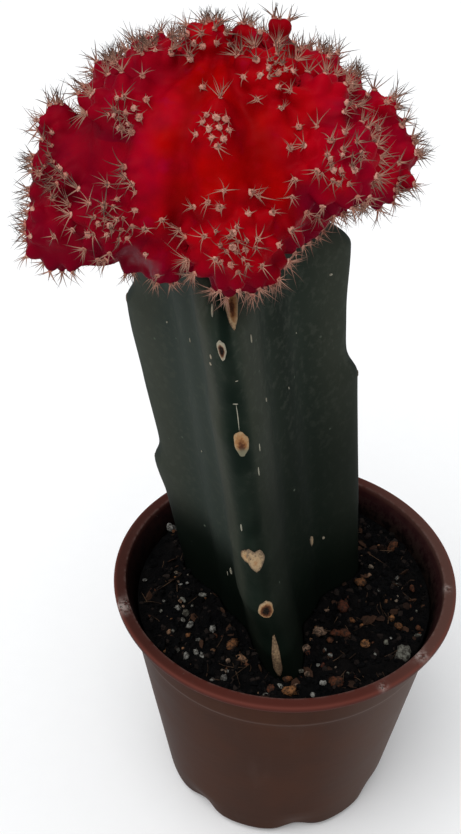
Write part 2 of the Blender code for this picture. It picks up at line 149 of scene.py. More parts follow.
def hairs(bases, heads, bends, lengths, widths, rings, corners, taper=0.7):
    """Bent tapered rods: middle = base + length * (t * head + t^2 * bend).

    Their radius is width * (1 - t)^taper, with t from 0 at the base to 1 at the tip."""
    t = np.linspace(0, 1, rings + 1)[:-1]
    frames = axes_along(heads, np.zeros(len(heads)))[:, None]
    line = t[None, :, None] * heads[:, None] + (t**2)[None, :, None] * bends[:, None]
    middle = bases[:, None] + lengths[:, None, None] * line
    angle = circle(corners)[:, None]
    round_about = np.cos(angle) * frames[..., 0] + np.sin(angle) * frames[..., 1]
    thick = widths[:, None] * (1 - t)[None, :] ** taper
    rows = middle[:, :, None] + thick[..., None, None] * round_about[:, None]
    ends = np.stack([bases, bases + lengths[:, None] * (heads + bends)], axis=1)
    points, faces, _ = closed_copies(rows, ends)
    along = np.tile(np.append(np.repeat(t, corners), [0, 1]), len(bases))
    return points, faces, along


def ripple(points, pitch, seed, waves=24):
    """Smooth noise of about unit size: plane waves of chance heading, with lengths near the pitch."""
    draw = np.random.default_rng(seed)
    heading = unit(draw.normal(size=(waves, 3)))
    length = pitch * draw.uniform(0.7, 1.5, waves)
    phase = draw.uniform(0, 2 * np.pi, waves)
    steps = points @ (heading * (2 * np.pi / length)[:, None]).T + phase
    return np.sin(steps).sum(-1) / math.sqrt(waves / 2)


def make_piece(name, points, faces, slot, smooth=True, **attributes):
    """A mesh piece that rides on the root body; attributes hold one number per point."""
    mesh = bpy.data.meshes.new(name)
    mesh.from_pydata(points, [], faces)
    mesh.polygons.foreach_set("use_smooth", np.full(len(mesh.polygons), smooth))
    for word, values in attributes.items():
        layer = mesh.attributes.new(word, "FLOAT", "POINT")
        layer.data.foreach_set("value", np.asarray(values, np.float32).ravel())
    piece = bpy.data.objects.new(name, mesh)
    bpy.context.scene.collection.objects.link(piece)
    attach(piece, "root")
    print(f"{name}: {len(points)} points, {sum(len(face) - 2 for face in faces)} triangles")
    return piece

# %% [markdown]
# ## Helpers for finishes
# A material is a small graph. Wrapping each socket in a class that knows + - * lets the maths be
# written as it is on paper; each operation adds one Math node. Any other node comes from one method,
# which sets its settings first and then its inputs. Most colours are built as paint is: a base, and
# coats over it, each with how much it covers.


# %% A socket that can be calculated with, and a material under way
class Strand:
    """One output socket of a material's graph."""

    def __init__(self, finish, socket):
        self.finish = finish
        self.socket = socket

    def maths(self, operation, first, second):
        """One Math node on two values or strands."""
        return self.finish.node("ShaderNodeMath", {"operation": operation}, {0: first, 1: second})

    def __add__(self, other):
        return self.maths("ADD", self, other)

    def __radd__(self, other):
        return self.maths("ADD", other, self)

    def __sub__(self, other):
        return self.maths("SUBTRACT", self, other)

    def __rsub__(self, other):
        return self.maths("SUBTRACT", other, self)

    def __mul__(self, other):
        return self.maths("MULTIPLY", self, other)

    def __rmul__(self, other):
        return self.maths("MULTIPLY", other, self)

    def ramp(self, low, high):
        """0 below low and 1 above high, with a smooth step between; high may be the lower number."""
        settings = {"interpolation_type": "SMOOTHSTEP"}
        return self.finish.node("ShaderNodeMapRange", settings, {0: self, 1: low, 2: high})


class Finish:
    """A Principled material under way."""

    def __init__(self, name, specular=0.5):
        self.material = bpy.data.materials.new(name)
        self.material.use_nodes = True
        self.tree = self.material.node_tree
        self.shader = self.tree.nodes["Principled BSDF"]
        self.shader.inputs["Specular IOR Level"].default_value = specular
        self.place = self.node("ShaderNodeTexCoord", out="Object")

    def node(self, kind, settings=None, inputs=None, out=0):
        """A node of a type with its settings, then its inputs as values or strands; one output."""
        made = self.tree.nodes.new(kind)
        for word, value in (settings or {}).items():
            if word == "stops":
                while len(made.color_ramp.elements) < len(value):
                    made.color_ramp.elements.new(0.5)
                for element, (spot, colour) in zip(made.color_ramp.elements, value):
                    element.position = spot
                    element.color = (*colour, 1.0)
            else:
                setattr(made, word, value)
        for socket, value in (inputs or {}).items():
            self.feed(made.inputs[socket], value)
        return Strand(self, made.outputs[out])

    def feed(self, socket, value):
        """Links a strand to a socket, or sets a number, vector or colour on it."""
        if isinstance(value, Strand):
            self.tree.links.new(value.socket, socket)
        elif isinstance(value, tuple) and len(value) == 3 and socket.type == "RGBA":
            socket.default_value = (*value, 1.0)
        else:
            socket.default_value = value

    def mix(self, factor, first, second):
        """A colour between two, by a factor."""
        return self.node("ShaderNodeMix", {"data_type": "RGBA"}, {0: factor, 6: first, 7: second}, out=2)

    def coats(self, base, *layers):
        """A base colour with coats over it, from the lowest up: how much each covers, and its colour."""
        for cover, colour in layers:
            base = self.mix(cover, base, colour)
        return base

    def noise(self, pitch, detail=3.0, rough=0.55, stretch=None, warp=0.0):
        """Noise from 0 to 1 whose lumps are about a pitch wide, stretched along the axes if asked."""
        spot = self.place
        if stretch:
            spot = self.node("ShaderNodeMapping", {}, {"Vector": spot, "Scale": stretch})
        given = {"Vector": spot, "Scale": 1 / pitch, "Detail": detail}
        given.update({"Roughness": rough, "Distortion": warp})
        return self.node("ShaderNodeTexNoise", {}, given)

    def cells(self, pitch):
        """Distance to the nearest of scattered points a pitch apart."""
        return self.node("ShaderNodeTexVoronoi", {}, {"Vector": self.place, "Scale": 1 / pitch})

    def value(self, word):
        """A number that the piece's mesh holds at each point."""
        return self.node("ShaderNodeAttribute", {"attribute_name": word}, out="Fac")

    def axis(self, word):
        """One of the object's coordinates, X, Y or Z, in metres."""
        return self.node("ShaderNodeSeparateXYZ", {}, {0: self.place}, out=word)

    def bump(self, height, depth, under=None):
        """A Bump node: a height from 0 to 1 that stands a depth in metres proud."""
        given = {"Height": height, "Distance": depth, "Strength": 1.0}
        if under is not None:
            given["Normal"] = under
        return self.node("ShaderNodeBump", {}, given, out="Normal")

    def done(self, piece, **sockets):
        """Feeds the shader's sockets, named with _ for a space, and puts the finish on a piece."""
        for word, value in sockets.items():
            self.feed(self.shader.inputs[word.replace("_", " ")], value)
        piece.data.materials.clear()
        piece.data.materials.append(self.material)

# %% [markdown]
# ## The camera
# The camera comes first, because small things whose chance places the photograph shows, such as the
# wool pads of the cactus, are laid on the surface along the line of sight through their picture point.

# %% Camera
CAMERA_PLACE = Vector((-0.0106, -0.1472, 0.1991))
CAMERA_DIP = math.radians(37.2)
CAMERA_ROLL = math.radians(0.95)
FOCAL_PIXELS = 1100
FRAME_WIDTH, FRAME_HEIGHT = 461, 834
SENSOR_LONG_SIDE = 36.0

camera_turn = Matrix.Rotation(math.pi / 2 - CAMERA_DIP, 4, "X") @ Matrix.Rotation(CAMERA_ROLL, 4, "Z")
camera = bpy.data.objects.new("camera", bpy.data.cameras.new("camera"))
camera.data.sensor_width = SENSOR_LONG_SIDE
camera.data.lens = FOCAL_PIXELS * SENSOR_LONG_SIDE / FRAME_HEIGHT
camera.data.clip_start = 0.01
camera.matrix_world = Matrix.Translation(CAMERA_PLACE) @ camera_turn
bpy.context.scene.collection.objects.link(camera)
bpy.context.scene.camera = camera


def sight(x, y):
    """The direction of the line of sight through a picture point, from the frame's top left corner."""
    across = (x - FRAME_WIDTH / 2) / FOCAL_PIXELS
    up = (FRAME_HEIGHT / 2 - y) / FOCAL_PIXELS
    return (camera_turn.to_3x3() @ Vector((across, up, -1))).normalized()


def level_spot(x, y, z):
    """The point at a height that a picture point shows."""
    line = sight(x, y)
    return np.array(CAMERA_PLACE + line * ((z - CAMERA_PLACE.z) / line.z))


print("camera dips", round(math.degrees(CAMERA_DIP), 1), "degrees")
print("its lens is", round(camera.data.lens, 1), "mm")

# %% [markdown]
# ## The pot
# The real pot is formed from a thin sheet of reddish-brown plastic, which leaves a rounded lip, a collar
# line a few millimetres under it and a foot in seven lobes. A section carried round the axis gives all
# of that; the lobes come from pulling the foot in at seven angles. The section is first drawn with
# sharp corners, then cut into even steps and averaged, as heat rounds every corner of a thin sheet.

# %% Sizes of the pot
RIM_RADIUS = 0.0320
POT_HEIGHT = 0.0515
SOIL_LEVEL = 0.0460
FOOT_RADIUS = 0.0223
WALL = 0.0010
NECK_WALL = 0.0012
FLOOR_THICKNESS = 0.0014
LIP_WIDTH = 0.0023
LIP_DEPTH = 0.0019
LIP_SKIRT = 0.0013
COLLAR_DEPTH = 0.0088
COLLAR_STEP = 0.0003
FEET = 7
FIRST_NOTCH = math.radians(-132)
NOTCH_HALF_WIDTH = math.radians(8.5)
NOTCH_DEPTH = 0.0017
NOTCH_HEIGHT = 0.0066
FOOT_ROUND = 0.0016
POT_SIDES = 300
WALL_WAVER = 0.00008
CORNER_HIGHLIGHT_WIDTH = 0.00045
INNER_EDGE_WIDTH = 0.00035
RIM_SMEARS = ((123, 606, 0.0016), (421, 656, 0.0012), (446, 588, 0.0008), (383, 687, 0.0007))
SECTION_STEP = 0.00020
SECTION_ROWS = 170
TURNING_WEIGHT = 1.2


def wall_radius(z):
    """Outer radius of the plain wall: a straight line from the foot up to the lip."""
    share = z / (POT_HEIGHT - LIP_DEPTH)
    return FOOT_RADIUS + share * (RIM_RADIUS - LIP_WIDTH - FOOT_RADIUS)


def softened(corners, step, passes):
    """A section of corner points cut into even steps, then averaged with its neighbours a few times."""
    corners = np.array(corners)
    run = np.concatenate([[0], np.cumsum(np.linalg.norm(np.diff(corners, axis=0), axis=1))])
    even = np.linspace(0, run[-1], int(run[-1] / step))
    line = np.stack([np.interp(even, run, corners[:, i]) for i in range(2)], axis=1)
    for _ in range(passes):
        line[1:-1] = 0.25 * line[:-2] + 0.5 * line[1:-1] + 0.25 * line[2:]
    return line


def thinned(line, rows):
    """A section with fewer points, in stretches with an even share of its run and of its turning."""
    step = np.diff(line, axis=0)
    heading = np.unwrap(np.arctan2(step[:, 1], step[:, 0]))
    turning = np.convolve(np.abs(np.diff(heading, prepend=heading[0])), np.ones(5) / 5, "same")
    run = np.linalg.norm(step, axis=1)
    share = np.concatenate([[0], np.cumsum(run / run.sum() + TURNING_WEIGHT * turning / turning.sum())])
    even = np.linspace(0, share[-1], rows)
    return np.stack([np.interp(even, share, line[:, i]) for i in range(2)], axis=1)


# %% The pot's section, carried round
collar = POT_HEIGHT - COLLAR_DEPTH
under_lip = POT_HEIGHT - LIP_DEPTH
skirt = POT_HEIGHT - LIP_SKIRT
inner_lip = RIM_RADIUS - LIP_WIDTH
FOOT_RIM = FOOT_RADIUS - FOOT_ROUND
UNDERSIDE_RISE = 0.0005
AXIS_GAP = 0.0005
FOOT_RING_WIDTH = 0.0018
FOOT_RING_SLOPE = 0.0012
pot_corners = [
    (AXIS_GAP, UNDERSIDE_RISE),
    (FOOT_RIM - FOOT_RING_WIDTH - FOOT_RING_SLOPE, UNDERSIDE_RISE),
    (FOOT_RIM - FOOT_RING_WIDTH, 0.0),
    (FOOT_RIM, 0.0),
    (wall_radius(FOOT_ROUND), FOOT_ROUND),
    (wall_radius(NOTCH_HEIGHT), NOTCH_HEIGHT),
    (wall_radius(collar), collar),
    (wall_radius(collar) + COLLAR_STEP, collar + 0.0002),
    (wall_radius(under_lip) + 0.0001, skirt - 0.0003),
    (RIM_RADIUS - 0.0001, skirt),
    (RIM_RADIUS, skirt + 0.0003),
    (RIM_RADIUS, POT_HEIGHT),
    (inner_lip, POT_HEIGHT),
    (inner_lip, POT_HEIGHT - 0.0006),
    (wall_radius(under_lip) - NECK_WALL, under_lip - LIP_DEPTH),
    (wall_radius(NOTCH_HEIGHT) - WALL, NOTCH_HEIGHT),
    (wall_radius(FOOT_ROUND) - WALL, FOOT_ROUND + WALL),
    (FOOT_RIM - 0.0006, FLOOR_THICKNESS),
    (AXIS_GAP, FLOOR_THICKNESS),
]
section = thinned(softened(pot_corners, SECTION_STEP, 4), SECTION_ROWS)
angles = circle(POT_SIDES)


def notch(angle):
    """How deep an angle lies in its notch between two lobes: a bell curve in each of seven places."""
    pitch = 2 * np.pi / FEET
    away = (angle - FIRST_NOTCH + pitch / 2) % pitch - pitch / 2
    return bell(away, NOTCH_HALF_WIDTH)


radius, level = section[:, :1], section[:, 1:]
fade = np.clip(1 - level / NOTCH_HEIGHT, 0, 1) ** 0.8
pull = NOTCH_DEPTH * notch(angles)[None, :] * fade * smooth_step(0.012, 0.019, radius)
waver = WALL_WAVER * np.sin(2 * angles + 1.0)[None, :] * smooth_step(0.02, 0.05, level)
reach = radius - pull - np.abs(waver)
pot_rows = np.stack([reach * np.cos(angles), reach * np.sin(angles), level + 0 * reach], axis=-1)
pot_points, pot_faces = closed_skin(pot_rows, (0, 0, UNDERSIDE_RISE), (0, 0, FLOOR_THICKNESS))
lip_row = int(np.argmax(section[:, 1]))
within = smooth_step(0.0004, 0.0014, POT_HEIGHT - section[:, 1]) * (np.arange(len(section)) > lip_row)
outer_corner = np.linalg.norm(section - [RIM_RADIUS, POT_HEIGHT], axis=1)
inner_corner = np.linalg.norm(section - [inner_lip, POT_HEIGHT], axis=1)
smear = np.zeros(len(pot_points))
for x, y, spread in RIM_SMEARS:
    away = np.linalg.norm(pot_points - level_spot(x, y, POT_HEIGHT), axis=1)
    smear = np.maximum(smear, bell(away, spread))
pot = make_piece(
    "nursery_pot",
    pot_points,
    pot_faces,
    "pot_plastic",
    inside=np.append(np.repeat(within, POT_SIDES), [0, 1]),
    # painted highlight along the lip's outer corner, and a paler line along its inner corner
    rubbed=np.append(np.repeat(bell(outer_corner, CORNER_HIGHLIGHT_WIDTH), POT_SIDES), [0, 0]),
    dusty=np.append(np.repeat(bell(inner_corner, INNER_EDGE_WIDTH), POT_SIDES), [0, 0]),
    smear=smear,
)
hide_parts("pot")

# %% [markdown]
# The plastic is satin and a little dusty. Its colour wanders slowly, water marks dull it in patches,
# peat dust sits on the lip, and fine level lines run round it as the mould left them. A paler line
# runs along the collar step and along the lip's inner corner. Light and shade are painted on too: the
# wall and the lip are paler to the right and darker to the left, a painted highlight runs along the
# lip's outer corner, and the inner wall lies in painted shade, darkest down by the mix and to the left.

# %% Finish of the pot
plastic = Finish("pot_plastic", specular=0.03)
slow = plastic.noise(0.012, detail=4.0)
dust = plastic.noise(0.0016, detail=5.0, rough=0.7)
streaks = plastic.noise(0.003, detail=3.0, stretch=(1.0, 1.0, 0.16))
rightward, height, inside = plastic.axis("X"), plastic.axis("Z"), plastic.value("inside")
lip = height.ramp(under_lip - 0.0004, under_lip + 0.0003)
line_start = height.ramp(collar - 0.0001, collar + 0.0001)
collar_line = line_start * (1 - height.ramp(collar + 0.0004, collar + 0.0008))
specks = dust.ramp(0.66, 0.74) * (0.15 + lip * 0.6)
# painted shade on the inner wall: darkest down by the mix and to the left, lighter to the right
inner_shade_fade = height.ramp(SOIL_LEVEL + 0.0005, POT_HEIGHT - 0.0010)
inner_lit = plastic.mix(rightward.ramp(-0.020, 0.024), (0.0085, 0.0032, 0.0036), (0.0230, 0.0068, 0.0078))
inner = plastic.mix(inner_shade_fade, (0.0030, 0.0018, 0.0019), inner_lit)
# a pale tint for painted light on the right of the wall and of the lip
PAINTED_LIGHT_TINT = (0.1150, 0.0760, 0.0620)
pot_colour = plastic.coats(
    plastic.mix(slow.ramp(0.3, 0.7), (0.0368, 0.0135, 0.0072), (0.0480, 0.0170, 0.0086)),
    (rightward.ramp(0.004, 0.028) * (1 - lip) * 0.68, PAINTED_LIGHT_TINT),  # painted light, paler to the right
    (rightward.ramp(-0.008, -0.026) * 0.38, (0.0290, 0.0100, 0.0062)),  # painted shade, darker to the left
    (lip, (0.0640, 0.0165, 0.0120)),  # the lip's redder, cleaner plastic
    # painted shade on the lip to the left, painted light on it to the right
    (rightward.ramp(-0.012, -0.030) * lip * 0.60, (0.0260, 0.0110, 0.0085)),
    (rightward.ramp(0.010, 0.030) * lip * 0.35, PAINTED_LIGHT_TINT),
    (streaks.ramp(0.55, 0.85) * 0.15, (0.0800, 0.0480, 0.0380)),  # water marks
    (inside * (0.85 + dust.ramp(0.4, 0.6) * 0.15), inner),  # the inner wall, in painted shade
    (collar_line * (1 - inside) * 0.22, (0.1250, 0.0760, 0.0620)),  # a paler line along the collar step
    (plastic.value("rubbed") * 0.65, (0.1350, 0.0370, 0.0270)),  # painted highlight along the lip's outer corner
    # paler in broken patches along the lip's inner corner
    (plastic.value("dusty") * dust.ramp(0.35, 0.60) * 0.7, (0.1300, 0.0800, 0.0700)),
    (specks * 0.4, (0.2000, 0.1500, 0.1250)),  # dust
    (plastic.value("smear") * dust.ramp(0.38, 0.58), (0.3000, 0.2350, 0.2150)),  # dried smears
)
grain = plastic.bump(plastic.noise(0.0005, detail=2.0), 0.000012)
mould = plastic.bump(plastic.noise(0.0028, stretch=(0.15, 0.15, 1.0)), 0.00003, grain)
plastic.done(pot, Base_Color=pot_colour, Roughness=0.38 + slow * 0.16 + specks * 0.3, Normal=mould)
print("pot finished")

# %% [markdown]
# ## The rootstock
# The stem is a climbing cactus cut to a length: three blunt ribs over hollow flanks, leaning a little.
# Each rib's margin steps in above an areole and grows out again to the next. As a formula, the reach
# at a turn between two ribs is the flank's reach plus a share of the rib's own, which is a power of
# the half cosine of that turn.

# %% Sizes of the stem
STEM_FOOT = np.array([-0.0026, -0.0005, SOIL_LEVEL])
STEM_LEAN = -0.125
RIB_REACH = 0.0212
FLANK_REACH = 0.0092
RIB_SHARPNESS = 3.5
RIB_HEADINGS = np.radians([-90, 25, 150])
RIB_AREOLES = (
    (0.0515, 0.0630, 0.0735, 0.0980, 0.1200),
    (0.0350, 0.0917, 0.1250),
    (0.0400, 0.0710, 0.1050, 0.1300),
)
AREOLE_STEP = 0.0025
AREOLE_STEP_RISE = 0.0034
FRONT_RIB_TWIST = math.radians(8)
TWIST_LEVEL = 0.0630
GRAFT_LEVEL = 0.1222
FOOT_DEPTH = 0.0200
SHOULDER_LEVEL = 0.1165
SHOULDER_LOSS = 0.34
RIGHT_TOP_FLARE = 0.0007
RIGHT_TOP = (0.1040, 0.1160)
LEFT_TOP_LOSS = 0.0020
LEFT_TOP = (0.0980, 0.1170)
LEFT_FOOT_LOSS = 0.0006
LEFT_FOOT = (0.0640, 0.0700)
STEM_SIDES = 216
STEM_ROWS = 225
FOOT_ROWS = 24
SKIN_SAG = 0.00006
HOLLOW_WIDTH = 0.13


def stem_centre(z):
    """The middle of the leaning stem at each height."""
    rise = z - STEM_FOOT[2]
    return np.stack([STEM_FOOT[0] + STEM_LEAN * rise, STEM_FOOT[1] + 0 * rise, z], axis=-1)


def crest_reach(areoles, z):
    """Reach of a margin: it steps in just above each areole and grows out linearly to the next."""
    levels = np.array(areoles)
    upper = np.searchsorted(levels, z, side="right")
    between = (upper > 0) & (upper < len(levels))
    below = levels[np.clip(upper - 1, 0, len(levels) - 1)]
    above = levels[np.clip(upper, 0, len(levels) - 1)]
    left = np.where(between, (above - z) / np.where(between, above - below, 1), 0)
    return RIB_REACH - AREOLE_STEP * (1 - bell(z - below, AREOLE_STEP_RISE)) * left


def front_twist(z):
    """How far the front rib turns to the right towards the mix."""
    return FRONT_RIB_TWIST * np.clip((TWIST_LEVEL - z) / (TWIST_LEVEL - SOIL_LEVEL), 0, 1)


def ridge(turn):
    """How near a turn is to a rib's crest: a power of the half cosine, 1 on it and 0 between two."""
    return (0.5 + 0.5 * np.cos(2 * np.pi * turn)) ** RIB_SHARPNESS


def stem_skin(turn, z):
    """Points of the stem: turn counts ribs, 0 at the front one, and z is the height."""
    bevel = np.clip((z - SHOULDER_LEVEL) / (GRAFT_LEVEL - SHOULDER_LEVEL), 0, 1) ** 1.6
    sunk = np.clip((SOIL_LEVEL - z) / FOOT_DEPTH, 0, 1)
    taper = np.sqrt(1 - 0.8 * sunk**2)
    headings = [RIB_HEADINGS[0] + front_twist(z), RIB_HEADINGS[1] + 0 * z, RIB_HEADINGS[2] + 0 * z]
    crests = [crest_reach(levels, z) * (1 - SHOULDER_LOSS * bevel) for levels in RIB_AREOLES]
    crests[1] = crests[1] + RIGHT_TOP_FLARE * smooth_step(*RIGHT_TOP, z)
    crests[2] = crests[2] - LEFT_TOP_LOSS * smooth_step(*LEFT_TOP, z)
    crests[2] = crests[2] - LEFT_FOOT_LOSS * (1 - smooth_step(*LEFT_FOOT, z))
    rib = np.floor(turn).astype(int) % 3
    share = turn - np.floor(turn)
    here = np.choose(rib, headings)
    after = np.choose((rib + 1) % 3, headings)
    heading = here + share * ((after - here) % (2 * np.pi))
    crest = np.where(share < 0.5, np.choose(rib, crests), np.choose((rib + 1) % 3, crests))
    reach = taper * (FLANK_REACH + (crest - FLANK_REACH) * ridge(share))
    out = np.stack([np.cos(heading), np.sin(heading), 0 * heading], axis=-1)
    return stem_centre(z) + out * reach[..., None]


def normals_of(surface, first, second, step=1e-4):
    """Outward normals of a surface of two parameters, from small steps along each."""
    along = surface(first + step, second) - surface(first - step, second)
    up = surface(first, second + step * 0.01) - surface(first, second - step * 0.01)
    return unit(np.cross(along, up))


# %% Body of the stem
stem_bottom = SOIL_LEVEL - FOOT_DEPTH
foot_heights = np.linspace(stem_bottom, SOIL_LEVEL - 0.001, FOOT_ROWS)
heights = np.concatenate([foot_heights, np.linspace(SOIL_LEVEL, GRAFT_LEVEL, STEM_ROWS)])
turns, levels = np.meshgrid(np.arange(STEM_SIDES) * 3 / STEM_SIDES, heights)
stem_rows = stem_skin(turns, levels)
stem_out = normals_of(stem_skin, turns, levels)
above = smooth_step(SOIL_LEVEL - 0.002, SOIL_LEVEL + 0.004, levels)
sag = SKIN_SAG * (1 + np.tanh(ripple(stem_rows * [1, 1, 0.80], 0.014, 3)))
stem_rows = stem_rows - stem_out * (sag * above)[..., None]
crown_end = stem_centre(np.array(GRAFT_LEVEL))
stem_points, stem_faces = closed_skin(stem_rows, stem_centre(np.array(stem_bottom)), crown_end)
turned = 1.5 - (turns + 1.5) % 3
before_back = 1 - smooth_step(1.0, 1.4, turned)
left_side = smooth_step(0.08, 0.26, turned) * before_back
stem_marks = {
    "crest": ridge(turns % 1),
    "left": left_side,
    "leftward": smooth_step(-0.01, 0.01, turned) * before_back,
    "hollow": bell(turns % 1 - 0.5, HOLLOW_WIDTH) * (1 - left_side),
}
stem_marks = {word: np.append(values.ravel(), [0, 0]) for word, values in stem_marks.items()}
stem = make_piece("rootstock_stem", stem_points, stem_faces, "rootstock_skin", **stem_marks)
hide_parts("rootstock")

# %% [markdown]
# Its skin is a dull blue-green wax over darker flesh, finely dappled, with long cloudy bands up the
# flanks. Light and shade are painted on it: painted shade in the hollows between ribs, a painted sheen
# that makes the left flank paler and bluer and carries most of the bands, and on each rib a nearly
# black edge of painted shade between two bands of painted highlight. Painted shade also darkens the
# skin towards the mix, on its left flank from higher up, where the pot shades it.

# %% Finish of the stem
skin = Finish("rootstock_skin", specular=0.03)
crest, left_flank, leftward = skin.value("crest"), skin.value("left"), skin.value("leftward")
height = skin.axis("Z")
bands = skin.noise(0.010, detail=3.0, stretch=(1.0, 1.0, 0.16), warp=0.3)
clouds = skin.noise(0.013, detail=3.0)
mottle = skin.noise(0.0014, detail=5.0, rough=0.65)
near_right = crest.ramp(0.05, 0.65) * (1 - crest.ramp(0.88, 0.99)) * (1 - leftward)
near_left = crest.ramp(0.07, 0.52) * (1 - crest.ramp(0.78, 0.97)) * leftward
wide = 1 - height.ramp(0.1040, 0.1120)
patchy = 0.35 + skin.noise(0.009, detail=2.0).ramp(0.42, 0.60) * 0.60
lower_shade = (1 - height.ramp(0.0740, 0.1060)) * (0.20 + (1 - leftward) * 0.52)
soil_shade = 1 - height.ramp(SOIL_LEVEL + 0.001, SOIL_LEVEL + 0.024)
left_shade = (1 - height.ramp(0.0575, 0.0700)) * (left_flank * 0.42 + leftward * 0.52)
flecks = (1 - skin.cells(0.0034).ramp(0.05, 0.08)) * skin.noise(0.006).ramp(0.5, 0.6)
STEM_SHADE = (0.0022, 0.0042, 0.0026)
stem_colour = skin.coats(
    skin.mix(clouds.ramp(0.3, 0.7), (0.0152, 0.0218, 0.0156), (0.0212, 0.0286, 0.0212)),
    (skin.value("hollow") * 0.55, (0.0050, 0.0085, 0.0055)),  # painted shade in the hollows between ribs
    (bands.ramp(0.45, 0.75) * (0.03 + left_flank * 0.42), (0.0330, 0.0380, 0.0290)),  # cloudy bands, mostly on the left flank, where they are partly painted light
    (left_flank * 0.75, (0.0370, 0.0470, 0.0400)),  # painted sheen, paler and bluer on the left flank
    (near_right * 0.42 + near_left * 0.55, (0.0450, 0.0475, 0.0345)),  # painted highlight beside a rib's edge
    (mottle.ramp(0.48, 0.66) * 0.32, (0.0600, 0.0660, 0.0510)),  # dapples
    # painted shade along each rib's edge on its left side, stronger lower down
    (crest.ramp(0.76, 0.97) * leftward * (0.30 + wide * 0.30), (0.0080, 0.0135, 0.0095)),
    (crest.ramp(0.965 - wide * 0.07, 1.0) * patchy, (0.0038, 0.0085, 0.0056)),  # painted shade on the edge itself
    (lower_shade, (0.0040, 0.0068, 0.0044)),
    (soil_shade * 0.88, STEM_SHADE),
    (left_shade, STEM_SHADE),
    (flecks * 0.7, (0.10, 0.12, 0.09)),  # pale flecks
)
fine = skin.bump(skin.noise(0.00032, detail=2.0), 0.000014)
wax = skin.bump(bands, 0.000006, fine)
skin.done(stem, Base_Color=stem_colour, Roughness=0.56 + clouds * 0.16, Normal=wax)
print("stem finished")

# %% [markdown]
# ## Scars and old areoles of the stem
# The offsets that grew on the stem were rubbed off by hand, and each left a corky scar on the rib: a
# cup with a tan rim, a torn hollow, a nest with a greenish lip below, a peeled plate or a long strip.
# A scar is a patch in polar form, laid on the stem's own surface formula: its width and height are
# steps in turn and in level, and a profile of the share from its middle to its edge lifts it off the
# skin. Its edge dips into the skin, which closes it. The table gives a scar's heading in degrees, its
# level, half width and half height in mm, its shape, how much wider it is above, and how silvery.

# %% Scars
SCAR_ROWS = 10
SCAR_SIDES = 28
SCAR_SINK = 0.00045
EDGE_LIFT = 0.00005
FACE_LIFT = 0.00012
RIM_LIFT = 0.00024
RIM_PLACE = 0.74
RIM_SPREAD = 0.18
HEART_NOTCH = 0.30
HEART_NOTCH_WIDTH = 0.40
SCAR_SHARES = {
    "cup": (0.12, 0.86),
    "torn": (-0.50, 1.45),
    "nest": (0.20, 0.58),
    "heart": (0.62, 0.38),
    "plate": (0.62, 0.38),
    "strip": (0.92, 0.06),
}
SCARS = (
    (-86.2, 119.9, 1.05, 2.0, "cup", 0.35, 0.0),
    (-92.1, 114.7, 0.62, 1.75, "torn", 0.25, 0.85),
    (-89.3, 98.4, 1.05, 2.0, "nest", 0.40, 0.0),
    (-90.2, 74.5, 1.38, 2.2, "heart", 0.80, 0.1),
    (-94.3, 75.1, 0.90, 0.9, "plate", 0.0, -0.1),
    (-88.3, 63.5, 1.28, 1.7, "torn", 0.0, 0.1),
    (-86.4, 51.8, 0.75, 4.8, "strip", -0.45, 0.0),
    (24.0, 91.2, 0.35, 0.6, "plate", 0.0, 0.2),
    (-14.7, 61.8, 1.40, 1.1, "plate", 0.3, 0.2),
    (0.7, 60.3, 0.28, 0.3, "plate", 0.0, 0.6),
    (-129.0, 58.8, 0.55, 0.8, "plate", 0.0, 0.9),
    (-136.0, 57.4, 0.20, 0.5, "plate", 0.0, 0.9),
    (150.0, 70.2, 0.75, 1.3, "cup", 0.3, 0.2),
    (150.0, 104.2, 0.80, 1.5, "cup", 0.3, 0.1),
    (-89.6, 102.7, 0.07, 2.1, "plate", 0.0, 1.0),
    (-89.9, 104.9, 0.40, 0.09, "plate", 0.0, 1.0),
    (-81.8, 96.5, 0.08, 0.75, "plate", 0.0, 1.0),
    (-83.6, 92.2, 0.08, 0.90, "plate", 0.0, 1.0),
    (-95.0, 119.6, 0.16, 0.6, "plate", 0.0, 0.7),
    (-137.0, 107.1, 0.16, 0.4, "plate", 0.0, 0.8),
    (-99.0, 110.8, 0.20, 0.25, "plate", 0.0, 0.7),
    (177.0, 105.9, 0.16, 0.16, "plate", 0.0, 1.0),
    (10.7, 113.6, 0.18, 0.18, "plate", 0.0, 1.0),
    (-7.8, 105.5, 0.15, 0.16, "plate", 0.0, 1.0),
    (-34.0, 97.6, 0.16, 0.22, "plate", 0.0, 1.0),
    (-88.0, 109.2, 0.22, 0.07, "plate", 0.0, 0.9),
    (-95.5, 79.9, 0.09, 0.70, "plate", 0.0, 1.0),
    (-98.0, 112.4, 0.16, 0.40, "plate", 0.0, 0.6),
    (-79.0, 114.6, 0.07, 0.70, "plate", 0.0, 0.8),
    (-72.0, 101.0, 0.14, 0.30, "plate", 0.0, 0.8),
    (92.0, 88.0, 0.18, 0.20, "plate", 0.0, 1.0),
    (78.0, 71.0, 0.15, 0.30, "plate", 0.0, 0.9),
    (-150.0, 84.0, 0.15, 0.18, "plate", 0.0, 1.0),
)


def stem_turn(heading, z):
    """The turn, counted in ribs from the front one, of a heading about the stem's middle."""
    front = RIB_HEADINGS[0] + front_twist(z)
    past = (heading - front) % (2 * np.pi)
    first, second = RIB_HEADINGS[1] - front, RIB_HEADINGS[2] - RIB_HEADINGS[1]
    both = first + second
    after = np.where(past < both, 1 + (past - first) / second, 2 + (past - both) / (2 * np.pi - both))
    return np.where(past < first, past / first, after)


